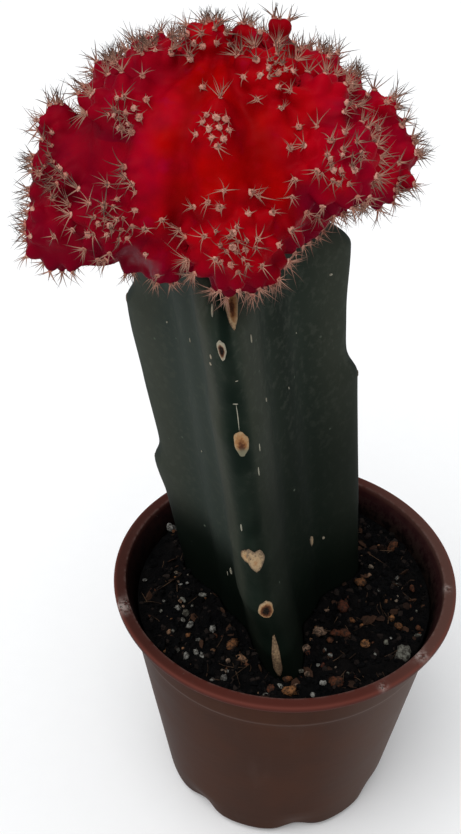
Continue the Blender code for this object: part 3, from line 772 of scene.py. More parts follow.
def scar_patch(heading, level, half_width, half_height, shape, taper, seed):
    """One closed patch: its rows from the sunk edge in to the middle, its two ends, and two marks.

    The marks are each point's share from the middle to the edge, and whether it is a nest's lip."""
    share = np.concatenate([[1.0], np.linspace(1.0, 0.08, SCAR_ROWS - 1)])[:, None]
    angle = circle(SCAR_SIDES)[None, :]
    ragged = 1 + 0.05 * np.sin(3 * angle + seed) + 0.04 * np.sin(7 * angle + 2 * seed)
    if shape == "heart":
        ragged = ragged - HEART_NOTCH * bell(angle - np.pi / 2, HEART_NOTCH_WIDTH)
    across = share * ragged * np.cos(angle)
    up = share * ragged * np.sin(angle)
    across = across * (1 + taper * up)
    z = np.minimum((level + half_height * up) * MM, GRAFT_LEVEL - 0.0001)
    spin = math.radians(heading) + across * half_width * MM / RIB_REACH
    if shape in ("cup", "torn"):
        lift = EDGE_LIFT + RIM_LIFT * bell(share - RIM_PLACE, RIM_SPREAD) + 0 * angle
    else:
        lift = FACE_LIFT + EDGE_LIFT * np.sin(5 * across + seed) * np.cos(4 * up) + 0 * angle
    lift = np.minimum(lift, 0.25 * min(half_width, half_height) * MM + 0.00002)
    lift[0] = -SCAR_SINK
    lift[1] = np.minimum(lift[1], EDGE_LIFT)
    turn_here = stem_turn(spin, z)
    rows = stem_skin(turn_here, z) + normals_of(stem_skin, turn_here, z) * lift[..., None]
    middle = rows[-1].mean(0)
    inside = middle - unit(middle - stem_centre(np.array(level * MM))) * 2 * SCAR_SINK
    return rows, inside, middle, share + 0 * angle, smooth_step(0.0, -0.5, up) * (shape == "nest")


skins, shares, tones, lips = [], [], [], []
for number, (*placed, tone) in enumerate(SCARS):
    rows, inside, middle, share, lip_share = scar_patch(*placed, number)
    skins.append(closed_skin(rows, inside, middle))
    least, scale = SCAR_SHARES[placed[4]]
    shares.append(np.append(least + scale * share, [1.0, least]))
    tones.append(np.full(len(skins[-1][0]), tone))
    lips.append(np.append(lip_share, [0.0, 0.0]))
scar_marks = {"share": shares, "tone": tones, "lip": lips}
scar_marks = {word: np.concatenate(values) for word, values in scar_marks.items()}
scars = make_piece("stem_scars", *joined(skins), "rootstock_skin", **scar_marks)

# %% Finish of the scars
CORK_STOPS = [
    (0.00, (0.006, 0.004, 0.003)),
    (0.38, (0.095, 0.033, 0.014)),
    (0.55, (0.270, 0.130, 0.050)),
    (0.78, (0.340, 0.230, 0.125)),
    (1.00, (0.110, 0.070, 0.044)),
]
cork = Finish("stem_scars", specular=0.1)
cork_share = cork.value("share")
wandering = cork_share + (cork.noise(0.0004, detail=4.0) - 0.5) * 0.50
cork_colour = cork.coats(
    cork.node("ShaderNodeValToRGB", {"stops": CORK_STOPS}, {0: wandering}),
    (cork.value("tone") * cork_share.ramp(0.2, 0.7) * 0.85, (0.300, 0.300, 0.240)),  # silvery with age
    (cork.noise(0.0002, detail=3.0).ramp(0.55, 0.7) * 0.5, (0.080, 0.045, 0.022)),  # dark specks
    (cork.value("lip") * 0.85, (0.150, 0.155, 0.105)),  # the greenish lip
)
cork.done(scars, Base_Color=cork_colour, Roughness=0.85, Normal=cork.bump(cork.noise(0.0003), 0.00010))
print("scars finished")

# %% [markdown]
# ## The potting mix
# The mix is one lumpy closed body whose hole follows the stem's foot. Loose crumbs of peat lie on it as
# small flat-sided lumps, with perlite, fired clay, bark slivers and coir fibres between them. The
# larger grains that the photograph shows are laid by picture point, with a radius in mm and a tone
# that runs from dark clay at 0 to clean perlite at 1. The rest, and the specks on the lip about a few
# dusty spots, are laid by chance.

# %% Body of the mix
GAP = 0.0003
MIX_SIDES = 270
MIX_TOP_ROWS = 52
MIX_TOE = 0.0040
MIX_TOE_RISE = 0.0015
MIX_EDGE_DROP = 0.0008
MIX_SIDE_ROWS = 12
HOLE_GAP = 1.3 * GAP
LUMPS = ((0.00032, 0.0065, 41), (0.00020, 0.0024, 42), (0.00010, 0.0011, 43))
mix_edge = wall_radius(SOIL_LEVEL) - NECK_WALL - GAP
mix_low = wall_radius(NOTCH_HEIGHT) - WALL - GAP
mix_bottom = FLOOR_THICKNESS + GAP
pocket = SOIL_LEVEL - FOOT_DEPTH


def mix_height(x, y):
    """Height of the mix's top: lumps of three sizes about the level."""
    spot = np.stack([x, y, 0 * x], axis=-1)
    return SOIL_LEVEL + sum(height * ripple(spot, pitch, seed) for height, pitch, seed in LUMPS)


mix_turns = np.arange(MIX_SIDES) * 3 / MIX_SIDES


def hole_ring(z):
    """The hole's edge at a height: the stem's outline and a small gap."""
    ring = stem_skin(mix_turns, np.full(MIX_SIDES, z))
    away = unit(ring - stem_centre(np.array(z)))
    return ring + away * HOLE_GAP


mix_heading = unit(hole_ring(SOIL_LEVEL) - stem_centre(np.array(SOIL_LEVEL)))


def wall_ring(radius, z):
    """A round ring of the mix, each point on the heading of a point of the stem's ring."""
    return mix_heading * radius + [0, 0, z]


side_levels = np.linspace(NOTCH_HEIGHT + MIX_TOE_RISE, SOIL_LEVEL - MIX_EDGE_DROP, MIX_SIDE_ROWS)
side_radii = np.linspace(mix_low, mix_edge, MIX_SIDE_ROWS)
mix_rows = [wall_ring(share * (mix_low - MIX_TOE), mix_bottom) for share in (0.05, 0.5, 1.0)]
mix_rows += [wall_ring(radius, z) for radius, z in zip(side_radii, side_levels)]
inner, outer = hole_ring(SOIL_LEVEL), wall_ring(mix_edge, SOIL_LEVEL)
for share in np.linspace(1, 0, MIX_TOP_ROWS):
    ring = inner + (outer - inner) * share
    settle = smooth_step(0, 0.05, share) * smooth_step(0, 0.04, 1 - share)
    ring[:, 2] = SOIL_LEVEL + (mix_height(ring[:, 0], ring[:, 1]) - SOIL_LEVEL) * settle
    mix_rows.append(ring)
mix_rows += [hole_ring(z) for z in np.linspace(SOIL_LEVEL - 0.001, pocket, MIX_SIDE_ROWS)]
mix_ends = (0, 0, mix_bottom), stem_centre(np.array(pocket - GAP))
mix = make_piece("potting_mix", *closed_skin(np.array(mix_rows), *mix_ends), "potting_mix")
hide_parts("soil")

# %% Grains by chance and by picture point
outline = stem_skin(mix_turns, np.full(MIX_SIDES, SOIL_LEVEL)) - stem_centre(np.array(SOIL_LEVEL))
outline_heading = np.unwrap(np.arctan2(outline[:, 1], outline[:, 0]))
outline_reach = np.linalg.norm(outline[:, :2], axis=1)
LAID_GRAINS = (
    (171, 528, 0.85, 1.0), (145, 580, 0.35, 1.0), (203, 595, 0.65, 0.9), (178, 608, 0.60, 0.95),
    (186, 613, 0.70, 0.80), (192, 607, 0.40, 0.90), (190, 625, 0.70, 0.95), (183, 620, 0.40, 0.90),
    (213, 629, 0.75, 0.95), (186, 656, 0.60, 0.95), (196, 652, 0.50, 0.95), (203, 656, 0.60, 0.95),
    (178, 650, 0.35, 0.90), (213, 651, 0.45, 0.45), (232, 645, 0.95, 0.30), (242, 659, 0.90, 0.50),
    (247, 664, 0.50, 0.20), (224, 678, 0.60, 1.0), (271, 689, 0.80, 0.10), (289, 691, 1.20, 0.38),
    (287, 678, 0.90, 0.25), (307, 674, 0.60, 0.60), (301, 671, 0.40, 0.80), (323, 683, 0.45, 1.0),
    (336, 682, 1.30, 0.15), (313, 695, 0.50, 1.0), (305, 649, 0.75, 0.60), (311, 640, 0.50, 0.50),
    (319, 632, 1.10, 0.58), (336, 633, 0.90, 0.08), (345, 634, 1.00, 0.12), (330, 640, 0.60, 0.20),
    (365, 644, 0.75, 0.42), (343, 606, 1.40, 0.05), (347, 596, 0.90, 0.10), (360, 582, 1.10, 0.30),
    (363, 559, 0.60, 0.50), (371, 567, 0.45, 0.70), (369, 575, 0.40, 0.55), (392, 549, 1.10, 0.20),
    (408, 541, 0.60, 0.80), (412, 588, 0.60, 0.15), (403, 653, 1.50, 0.85), (392, 618, 0.60, 0.40),
    (399, 626, 0.70, 0.30), (418, 628, 0.45, 0.20), (386, 642, 0.45, 0.80), (352, 620, 0.50, 0.30),
    (325, 650, 0.60, 0.90), (330, 655, 0.40, 0.95), (318, 665, 0.35, 0.90), (396, 600, 0.50, 0.75),
)
CRUMBS = 1900
LEAST_CRUMB, CRUMB_RATIO = 0.00022, 3.6
SLIVERS = 70
SLIVER_SIZE = (0.0005, 0.0013)
SLIVER_RISE = 0.0001
LOOSE_GRAINS = 120
LEAST_LOOSE, LOOSE_RATIO = 0.00020, 3.2
PERLITE_SHARE = 0.22
FIBRES = 110
FIBRE_ROOM = 0.0012
FIBRE_BEND = 0.35
FIBRE_LENGTH = (0.0015, 0.0050)
FIBRE_WIDTH = (0.00005, 0.00011)
DUST_SIZE = (0.00006, 0.00014)
DUST_TONE = 0.97
LAID_SCALE = 1.15
LAID_RISE = 0.0003
GRAIN_LENGTH = (0.85, 1.35)
GRAIN_BREADTH = (0.65, 1.0)
GRAIN_TILT = 0.55
TRIES = 8
RIM_DUST = ((123, 606, 30, 0.0013), (446, 588, 3, 0.0003), (421, 656, 6, 0.0012), (383, 687, 4, 0.0006))


def clear_places(sizes, seed):
    """Chance places on the mix for grains of given radii, clear of the stem and of the wall."""
    draw = np.random.default_rng(seed)
    angle = draw.uniform(0, 2 * np.pi, (TRIES, len(sizes)))
    reach = (mix_edge - sizes) * np.sqrt(draw.uniform(0, 1, (TRIES, len(sizes))))
    x, y = reach * np.cos(angle), reach * np.sin(angle)
    side = np.stack([x - STEM_FOOT[0], y - STEM_FOOT[1]], axis=-1)
    heading = np.arctan2(side[..., 1], side[..., 0])
    near = np.interp(heading, outline_heading, outline_reach, period=2 * np.pi)
    clear = np.linalg.norm(side, axis=-1) > near + sizes
    chosen = np.argmax(clear, axis=0), np.arange(len(sizes))
    x, y = x[chosen], y[chosen]
    return np.stack([x, y, mix_height(x, y)], axis=-1)[clear[chosen]], sizes[clear[chosen]]


def grains(name, places, sizes, rings, sides, rough, flatness, seed, smooth=False, **numbers):
    """Closed lumps: balls whose points sit at chance reaches, flattened and turned at random."""
    draw = np.random.default_rng(seed)
    total = len(places)
    rise = np.linspace(-math.pi / 2, math.pi / 2, rings + 2)[1:-1][:, None]
    reach = 1 + rough * draw.uniform(-1, 1, (total, rings, sides, 1))
    sides_drawn = [draw.uniform(*limits, total) for limits in (GRAIN_LENGTH, GRAIN_BREADTH, flatness)]
    half_sizes = np.stack(sides_drawn, axis=-1) * sizes[:, None]
    local = towards(circle(sides), rise) * reach * half_sizes[:, None, None]
    ups = unit(draw.normal(size=(total, 3)) * GRAIN_TILT + [0, 0, 1])
    frames = axes_along(ups, draw.uniform(0, 2 * np.pi, total))
    rows = np.einsum("nij,nrsj->nrsi", frames, local) + places[:, None, None]
    pole = ups * half_sizes[:, 2:]
    points, faces, size = closed_copies(rows, np.stack([places - pole, places + pole], axis=1))
    spread = {word: np.repeat(value, size) for word, value in numbers.items()}
    return make_piece(name, points, faces, "potting_mix", smooth, **spread)


def graded(draw, least, ratio, count):
    """Chance sizes from the least to a ratio of it, even in their logarithm: least * ratio^u."""
    return least * ratio ** draw.uniform(0, 1, count)


def rim_dust(draw):
    """Places of the specks that lie on the lip about each dusty spot."""
    dust = []
    for x, y, number, spread in RIM_DUST:
        spots = level_spot(x, y, POT_HEIGHT) + draw.normal(size=(number, 3)) * [spread, spread, 0]
        reach = np.linalg.norm(spots[:, :2], axis=1)
        reach = np.clip(reach, inner_lip + 0.0005, RIM_RADIUS - 0.0005)[:, None]
        dust.append(np.column_stack([unit(spots[:, :2]) * reach, np.full(number, POT_HEIGHT - 0.00002)]))
    return np.concatenate(dust)


# %% Crumbs, slivers, grit and fibres
draw = np.random.default_rng(51)
places, sizes = clear_places(graded(draw, LEAST_CRUMB, CRUMB_RATIO, CRUMBS), 52)
tone = draw.uniform(0, 1, len(sizes))
crumbs = grains("peat_crumbs", places, sizes, 3, 6, 0.30, (0.6, 1.0), 53, tone=tone)
places, sizes = clear_places(draw.uniform(*SLIVER_SIZE, SLIVERS), 54)
places = places + [0, 0, SLIVER_RISE]
tone = draw.uniform(0, 1, len(sizes))
slivers = grains("bark_slivers", places, sizes, 3, 7, 0.2, (0.15, 0.3), 55, tone=tone)

laid = np.array([level_spot(x, y, SOIL_LEVEL + LAID_RISE) for x, y, _, _ in LAID_GRAINS])
laid_size, laid_tone = np.array([(size, tone) for _, _, size, tone in LAID_GRAINS]).T
loose, loose_size = clear_places(graded(draw, LEAST_LOOSE, LOOSE_RATIO, LOOSE_GRAINS), 56)
chance = draw.uniform(0, 1, (2, len(loose)))
loose_tone = np.where(chance[0] < PERLITE_SHARE, 0.80 + 0.2 * chance[1], 0.75 * chance[1])
dust = rim_dust(draw)
places = np.concatenate([laid, loose, dust])
sizes = np.concatenate([laid_size * LAID_SCALE * MM, loose_size, draw.uniform(*DUST_SIZE, len(dust))])
tone = np.concatenate([laid_tone, loose_tone, np.full(len(dust), DUST_TONE)])
grit = grains("perlite_and_clay", places, sizes, 5, 9, 0.26, (0.5, 0.9), 57, smooth=True, tone=tone)

places, _ = clear_places(np.full(FIBRES, FIBRE_ROOM), 58)
count = len(places)
heads = unit(np.column_stack([draw.normal(size=(count, 2)), draw.uniform(-0.12, 0.22, count)]))
bends = np.column_stack([draw.normal(size=(count, 2)) * FIBRE_BEND, draw.uniform(-0.1, 0.1, count)])
to_wall = mix_edge - np.linalg.norm(places[:, :2], axis=1)
lengths = np.clip(draw.uniform(*FIBRE_LENGTH, count), 0, to_wall)
widths = draw.uniform(*FIBRE_WIDTH, count)
points, faces, _ = hairs(places + [0, 0, LAID_RISE], heads, bends, lengths, widths, 6, 4, 0.25)
coir = make_piece("coir_fibres", points, faces, "potting_mix")

# %% [markdown]
# Damp peat is nearly black. Perlite is off-white but dusty with peat, fired clay runs from brick red
# through orange to a pinkish tan, and bark and coir are brown.

# %% Finishes of the mix
MIX_SPECULAR = 0.06
STONE_STOPS = [
    (0.00, (0.070, 0.020, 0.012)),
    (0.22, (0.085, 0.032, 0.015)),
    (0.40, (0.220, 0.095, 0.036)),
    (0.60, (0.200, 0.130, 0.090)),
    (0.80, (0.130, 0.128, 0.102)),
    (1.00, (0.230, 0.225, 0.205)),
]
peat = Finish("peat", MIX_SPECULAR)
clouds = peat.noise(0.0030, detail=5.0, rough=0.65)
fine = peat.noise(0.0006, detail=5.0, rough=0.75)
peat_colour = peat.coats(
    peat.mix(clouds.ramp(0.35, 0.7), (0.0015, 0.0016, 0.0019), (0.0048, 0.0040, 0.0038)),
    (fine.ramp(0.62, 0.80) * 0.25, (0.032, 0.024, 0.020)),
)
peat.done(mix, Base_Color=peat_colour, Roughness=0.95, Normal=peat.bump(fine, 0.00050))
crumb = Finish("peat_crumbs", MIX_SPECULAR)
crumb_colour = crumb.coats(
    crumb.mix(crumb.value("tone").ramp(0.7, 1.0), (0.0020, 0.0020, 0.0022), (0.018, 0.013, 0.011)),
    (crumb.noise(0.0004, detail=4.0).ramp(0.6, 0.75) * 0.3, (0.036, 0.028, 0.023)),
)
crumb.done(crumbs, Base_Color=crumb_colour, Roughness=0.95, Normal=crumb.bump(crumb.noise(0.0003), 0.00015))
bark = Finish("bark_slivers", MIX_SPECULAR)
grain = bark.noise(0.0006, detail=4.0, stretch=(0.3, 1.0, 1.0))
bark_colour = bark.coats(
    bark.mix(bark.value("tone"), (0.014, 0.008, 0.006), (0.050, 0.024, 0.014)),
    (grain.ramp(0.5, 0.7) * 0.6, (0.012, 0.008, 0.006)),
)
bark.done(slivers, Base_Color=bark_colour, Roughness=0.85, Normal=bark.bump(grain, 0.00012))
stone = Finish("perlite_and_clay", MIX_SPECULAR)
stone_tone = stone.value("tone") + (stone.noise(0.0009) - 0.5) * 0.12
dirt = stone.noise(0.0007, detail=5.0, rough=0.7).ramp(0.40, 0.60)
stone_colour = stone.coats(
    stone.node("ShaderNodeValToRGB", {"stops": STONE_STOPS}, {0: stone_tone}),
    (dirt * 0.88, (0.014, 0.011, 0.009)),
)
stone.done(grit, Base_Color=stone_colour, Roughness=0.85, Normal=stone.bump(stone.noise(0.0004), 0.00018))
husk = Finish("coir_fibres", MIX_SPECULAR)
husk_colour = husk.mix(husk.noise(0.002).ramp(0.4, 0.6), (0.020, 0.012, 0.008), (0.075, 0.044, 0.026))
husk.done(coir, Base_Color=husk_colour, Roughness=0.8)
print("mix finished")

# %% [markdown]
# ## The scion's flesh
# A mother body with twelve broad ribs carries a crown of offsets, and all of it is one living body. So
# each is first a closed skin of its own, and a voxel remesh with a light smoothing then makes one skin
# round them all. Its points are then moved, in a few steps along the slope, onto a soft union of the
# bodies, which turns the sharp creases into the soft folds of flesh. The table gives an offset's centre
# and radius in mm, and the heading and rise of its axis in degrees.

# %% Sizes of the mother and her offsets
MOTHER_CENTRE = np.array([-0.0125, 0.0, 0.1360])
MOTHER_WIDTH = 0.0190
MOTHER_TOP = 0.0122
MOTHER_BOTTOM = 0.0160
MOTHER_RIBS = 12
MOTHER_RIB_DEPTH = 0.09
MOTHER_RIB_TURN = math.radians(-91)
OFFSET_RIBS = 8
OFFSET_RIB_DEPTH = 0.05
OFFSET_LENGTH = 0.96
OFFSET_ROOT = 1.5
FRONT_OFFSETS = {
    "front_low": (-10.4, -17.7, 129.7, 5.8, -90, 22),
    "beak": (-10.5, -19.8, 125.4, 1.1, -95, -50),
    "left_front": (-26.3, -12.0, 130.5, 5.1, -95, 16),
    "left": (-34.2, -8.5, 126.4, 5.3, 178, 5),
    "left_under": (-20.0, -13.2, 125.9, 3.8, -125, -15),
    "left_lump": (-24.0, -12.6, 125.4, 2.2, -120, -60),
    "left_shoulder": (-29.6, -5.0, 134.1, 5.9, -170, 5),
    "left_tip": (-34.8, -1.2, 138.4, 2.3, 130, 70),
    "left_middle": (-35.3, -4.5, 134.0, 3.1, 180, 5),
    "left_notch": (-37.0, -5.3, 130.9, 1.9, 178, 0),
    "left_column": (-29.7, -2.0, 141.1, 1.7, 100, 80),
    "upper_left": (-25.4, -8.1, 143.7, 3.5, -92, 12),
    "upper_left_back": (-27.1, 1.0, 143.5, 2.8, 120, 75),
    "top_left": (-21.8, -2.2, 146.8, 3.2, -140, 75),
    "top": (-14.3, 0.4, 149.6, 2.7, 90, 85),
    "top_small": (-9.2, 1.2, 149.3, 1.9, 60, 80),
    "top_leaning": (-5.3, 3.8, 146.4, 2.1, 20, 70),
    "top_knob": (-4.8, 4.2, 150.0, 1.1, 10, 82),
    "upper_inner": (-6.7, -6.3, 147.0, 3.5, -75, 48),
    "upper_right": (0.1, 0.0, 145.6, 3.0, 30, 65),
    "right_shoulder": (4.3, 2.2, 142.6, 2.6, 25, 60),
    "right_upper": (9.0, 0.2, 139.9, 2.5, 5, 40),
    "right_far": (10.5, -2.6, 136.5, 3.2, -5, 5),
    "right_main": (2.0, -13.1, 138.8, 5.4, -78, 25),
    "right_edge": (13.0, -2.5, 135.3, 1.6, 0, 5),
    "right_low": (8.3, -6.0, 133.9, 3.4, -20, -10),
    "right_low_edge": (12.4, -5.0, 133.2, 1.5, -20, -20),
    "right_under": (-4.2, -15.2, 131.2, 2.4, -82, 5),
    "front_corner": (-6.6, -19.0, 126.6, 2.0, -60, -30),
    "right_bulge": (-0.2, -8.6, 144.2, 3.9, -40, 40),
    "middle_tuft": (-13.2, -13.6, 143.4, 2.2, -92, 30),
}
BACK_ROWS = ((-14, 6, 28, 158, 0.0047), (14, 6, 38, 140, 0.0038), (28, 3, 66, 132, 0.0025))
BACK_SAG = 6
PLAIN_TIPS = ("right_bulge",)
FILLINGS = ((-22.5, -6.0, 142.0, 4.6), (-24.5, -8.5, 136.0, 5.0))
BACK_REACH = 0.0205
MOTHER_ROWS = 60
MOTHER_SIDES = 144
OFFSET_ROWS = 30
OFFSET_SIDES = 48


def furrows(count, angle):
    """How deep a direction lies between ribs: 0.5 - 0.5 * cos(count * angle), 0 on a rib."""
    return 0.5 - 0.5 * np.cos(count * angle)


def mother_reach(heading, rise):
    """Distance from the mother's centre to her skin: an ellipsoid, less the furrows between ribs."""
    down = np.where(rise > 0, MOTHER_TOP, MOTHER_BOTTOM)
    plain = 1 / np.sqrt((np.cos(rise) / MOTHER_WIDTH) ** 2 + (np.sin(rise) / down) ** 2)
    furrow = furrows(MOTHER_RIBS, heading - MOTHER_RIB_TURN)
    return plain * (1 - MOTHER_RIB_DEPTH * furrow**1.7 * np.cos(rise))


def offset_list():
    """Centre, axis and radius of every offset: the front's by place, the back's in rows by chance."""
    found = []
    for x, y, z, size, heading, rise in FRONT_OFFSETS.values():
        axis = towards(math.radians(heading), math.radians(rise))
        found.append((np.array([x, y, z]) * MM, axis, size * MM))
    draw = random.Random(11)
    for rise, count, first, last, size in BACK_ROWS:
        for k in range(count):
            heading = math.radians(first + (last - first) * k / (count - 1) + draw.uniform(-4, 4))
            sag = BACK_SAG * ((heading - math.pi / 2) / 1.05) ** 2
            lift = math.radians(rise + draw.uniform(-4, 4) - sag)
            axis = towards(heading, lift)
            away = mother_reach(heading, lift) * BACK_REACH / MOTHER_WIDTH
            found.append((MOTHER_CENTRE + axis * away, axis, size * draw.uniform(0.88, 1.12)))
    return found


offsets = offset_list()
upright = np.array([0.0, 0.0, 1.0])
fillings = [(np.array([x, y, z]) * MM, upright, size * MM) for x, y, z, size in FILLINGS]
bodies = offsets + fillings
largest = max(size for _, _, size in offsets)
print(len(offsets), "offsets, the largest", round(largest / MM, 1), "mm in radius")


# %% One skin for each, then one skin for all
def mother_skin():
    """The mother's rings from her flat seat on the stem up to her crown."""
    seat = GRAFT_LEVEL + GAP - MOTHER_CENTRE[2]
    lowest = math.asin(seat / MOTHER_BOTTOM)
    tilt = np.linspace(lowest, math.pi / 2 - 0.03, MOTHER_ROWS)[:, None]
    down = np.where(tilt > 0, MOTHER_TOP, MOTHER_BOTTOM)
    rise = np.arctan2(down * np.sin(tilt), MOTHER_WIDTH * np.cos(tilt))
    heading = circle(MOTHER_SIDES)[None, :]
    rows = towards(heading, rise) * mother_reach(heading, rise)[..., None]
    rows[0, :, 2] = seat
    return closed_skin(rows + MOTHER_CENTRE, *(MOTHER_CENTRE + [[0, 0, seat], [0, 0, MOTHER_TOP]]))


def offset_skin(centre, axis, size):
    """An offset's rings along its axis: a ball with shallow ribs, drawn out towards its root."""
    polar = np.linspace(math.pi * 0.97, math.pi * 0.03, OFFSET_ROWS)[:, None]
    angle = circle(OFFSET_SIDES)[None, :]
    flat = size * (1 - OFFSET_RIB_DEPTH * furrows(OFFSET_RIBS, angle)) * np.sin(polar)
    length = np.where(polar > math.pi / 2, OFFSET_ROOT, OFFSET_LENGTH) * size * np.cos(polar)
    local = np.stack([flat * np.cos(angle), flat * np.sin(angle), length + 0 * angle], axis=-1)
    turn = axes_along(np.array([axis]), np.zeros(1))[0]
    root, tip = centre - axis * size * OFFSET_ROOT, centre + axis * size * OFFSET_LENGTH
    return closed_skin(local @ turn.T + centre, root, tip)


def evaluated(points, faces, **modifiers):
    """Points and faces after a stack of modifiers, each given as its type and its settings."""
    mesh = bpy.data.meshes.new("shape")
    mesh.from_pydata(points, [], faces)
    holder = bpy.data.objects.new("shape", mesh)
    bpy.context.scene.collection.objects.link(holder)
    for kind, settings in modifiers.items():
        modifier = holder.modifiers.new(kind, kind)
        for word, value in settings.items():
            setattr(modifier, word, value)
    graph = bpy.context.evaluated_depsgraph_get()
    made = bpy.data.meshes.new_from_object(holder.evaluated_get(graph))
    bpy.data.objects.remove(holder)
    spots = np.empty(len(made.vertices) * 3)
    made.vertices.foreach_get("co", spots)
    corners = np.empty(len(made.loops), int)
    made.loops.foreach_get("vertex_index", corners)
    ends = np.cumsum([face.loop_total for face in made.polygons])
    return spots.reshape(-1, 3), np.split(corners, ends[:-1])


VOXEL = 0.000355
flesh_points, flesh_faces = evaluated(
    *joined([mother_skin()] + [offset_skin(*item) for item in bodies]),
    REMESH={"mode": "VOXEL", "voxel_size": VOXEL},
    SMOOTH={"factor": 0.5, "iterations": 3},
)
flesh_faces = np.array(flesh_faces)
print("flesh:", len(flesh_points), "points,", 2 * len(flesh_faces), "triangles")

# %% Soft folds between the bodies
SOFTNESS = 0.00080
MOTHER_SOFTNESS = 0.0016
SQUARENESS = 2.6
FIELD_REACH = 0.0050
STEM_COVER = 0.0225
OFFSET_STALK = 0.9
SETTLING_ROUNDS = 6
SETTLING_SHARE = 0.8
LONGEST_STEP = 0.0006


def offset_field(points, centre, axis, size):
    """Distance to an offset's skin, a ribbed rod with a flattened tip, and the direction from its middle.

    Past the middle the reach is the p-norm of the steps across and along, so the tip is nearly flat."""
    away = points - centre
    away = away - np.clip(away @ axis, -OFFSET_STALK * size, 0)[:, None] * axis
    local = away @ axes_along(np.array([axis]), np.zeros(1))[0]
    across, along = np.hypot(local[:, 0], local[:, 1]), local[:, 2]
    length = np.hypot(across, along)
    tip = (across**SQUARENESS + np.abs(along) ** SQUARENESS) ** (1 / SQUARENESS)
    furrow = furrows(OFFSET_RIBS, np.arctan2(local[:, 1], local[:, 0]))
    reach = size * (1 - OFFSET_RIB_DEPTH * furrow * across / length)
    return np.where(along > 0, tip, length) - reach, away / length[:, None]


def mother_field(points):
    """Distance to the mother's skin along the line from her centre, and that line's direction."""
    away = points - MOTHER_CENTRE
    length = np.linalg.norm(away, axis=1)
    rise = np.arcsin(away[:, 2] / length)
    return length - mother_reach(np.arctan2(away[:, 1], away[:, 0]), rise), away / length[:, None]


def soft_union(points):
    """Level -s * log(sum(exp(-distance / s))) of the offsets, then again with the mother, and its slope."""
    total, slope = np.full(len(points), 1e-12), np.full(points.shape, 1e-15)
    for centre, axis, size in bodies:
        near = np.flatnonzero(np.linalg.norm(points - centre, axis=1) < 2 * size + FIELD_REACH)
        level, away = offset_field(points[near], centre, axis, size)
        weight = np.exp(-np.maximum(level, -FIELD_REACH) / SOFTNESS)
        total[near] += weight
        slope[near] += away * weight[:, None]
    mother, outwards = mother_field(points)
    weights = [np.exp(-level / MOTHER_SOFTNESS) for level in (mother, -SOFTNESS * np.log(total))]
    direction = outwards * weights[0][:, None] + unit(slope) * weights[1][:, None]
    return -MOTHER_SOFTNESS * np.log(sum(weights)), unit(direction)


seat_level = GRAFT_LEVEL + GAP
from_axis = np.linalg.norm(flesh_points[:, :2] - MOTHER_CENTRE[:2], axis=1)
above_seat = smooth_step(seat_level + 0.0001, seat_level + 0.0015, flesh_points[:, 2])
free = np.maximum(above_seat, smooth_step(STEM_COVER, STEM_COVER + 0.002, from_axis))[:, None]
for _ in range(SETTLING_ROUNDS):
    level, slope = soft_union(flesh_points)
    step = SETTLING_SHARE * np.clip(level, -LONGEST_STEP, LONGEST_STEP)
    flesh_points = flesh_points - step[:, None] * slope * free
print("skin settled to", round(float(np.abs(level * free[:, 0]).mean()) / MM, 3), "mm")

# %% [markdown]
# ## The areoles
# Each spine tuft stands on a woolly cushion, an areole. Those that the photograph shows plainly are
# laid on the flesh along the line of sight through their picture point: stars with spread spines, pads
# that are mostly wool, and tufts with long spines. Elsewhere they stand in rings round each offset's
# tip and down the mother's ribs. All tips but one also have a crowd of young ones.

# %% Areoles that the front shows, by picture point
SEEN_STARS = (
    (224, 191), (246, 194), (255, 198), (267, 216), (234, 233), (255, 239), (218, 258), (258, 264),
    (274, 276), (237, 284), (192, 238), (208, 237), (201, 270), (192, 260), (55, 201), (76, 228),
    (55, 236), (93, 204), (111, 188), (161, 216), (145, 226), (199, 207), (210, 203), (222, 209),
    (159, 278), (171, 285), (178, 288), (142, 82), (124, 127), (134, 132), (217, 146), (294, 94),
    (258, 100), (279, 111), (337, 72), (326, 76), (340, 115), (384, 106), (377, 132), (318, 133),
    (330, 144), (342, 136), (291, 151), (308, 148), (357, 154), (318, 169), (297, 177), (394, 165),
    (409, 182), (390, 198), (365, 200), (354, 192), (323, 200), (305, 207), (291, 194), (345, 212),
    (329, 213), (347, 221), (309, 242), (308, 251), (294, 252), (320, 225), (317, 236), (30, 254),
    (51, 267), (73, 267), (99, 254), (127, 270), (111, 248),
)
SEEN_PADS = (
    (221, 210), (246, 216), (274, 245), (136, 208), (119, 200), (138, 191), (127, 236), (36, 212),
    (34, 236), (100, 222), (92, 233), (111, 224), (109, 233), (147, 252), (201, 91), (139, 117),
    (145, 102), (115, 115), (205, 124), (200, 135), (227, 131), (205, 47), (56, 135), (247, 78),
    (261, 78), (276, 75), (289, 73), (276, 88), (326, 61), (363, 96), (363, 105), (301, 132),
    (338, 182), (352, 170), (330, 159), (341, 155), (339, 170), (333, 170), (233, 246), (245, 248),
    (243, 257), (232, 263), (290, 46), (150, 38), (210, 130), (219, 129), (223, 139), (213, 138),
    (134, 109), (140, 118), (129, 123), (120, 126), (134, 131), (126, 112), (118, 100), (118, 58),
    (134, 41), (146, 39), (156, 54), (168, 58), (190, 62), (216, 120), (224, 121), (208, 118),
    (196, 44), (214, 44), (226, 46), (240, 30), (250, 31), (257, 36), (283, 72), (268, 70),
)
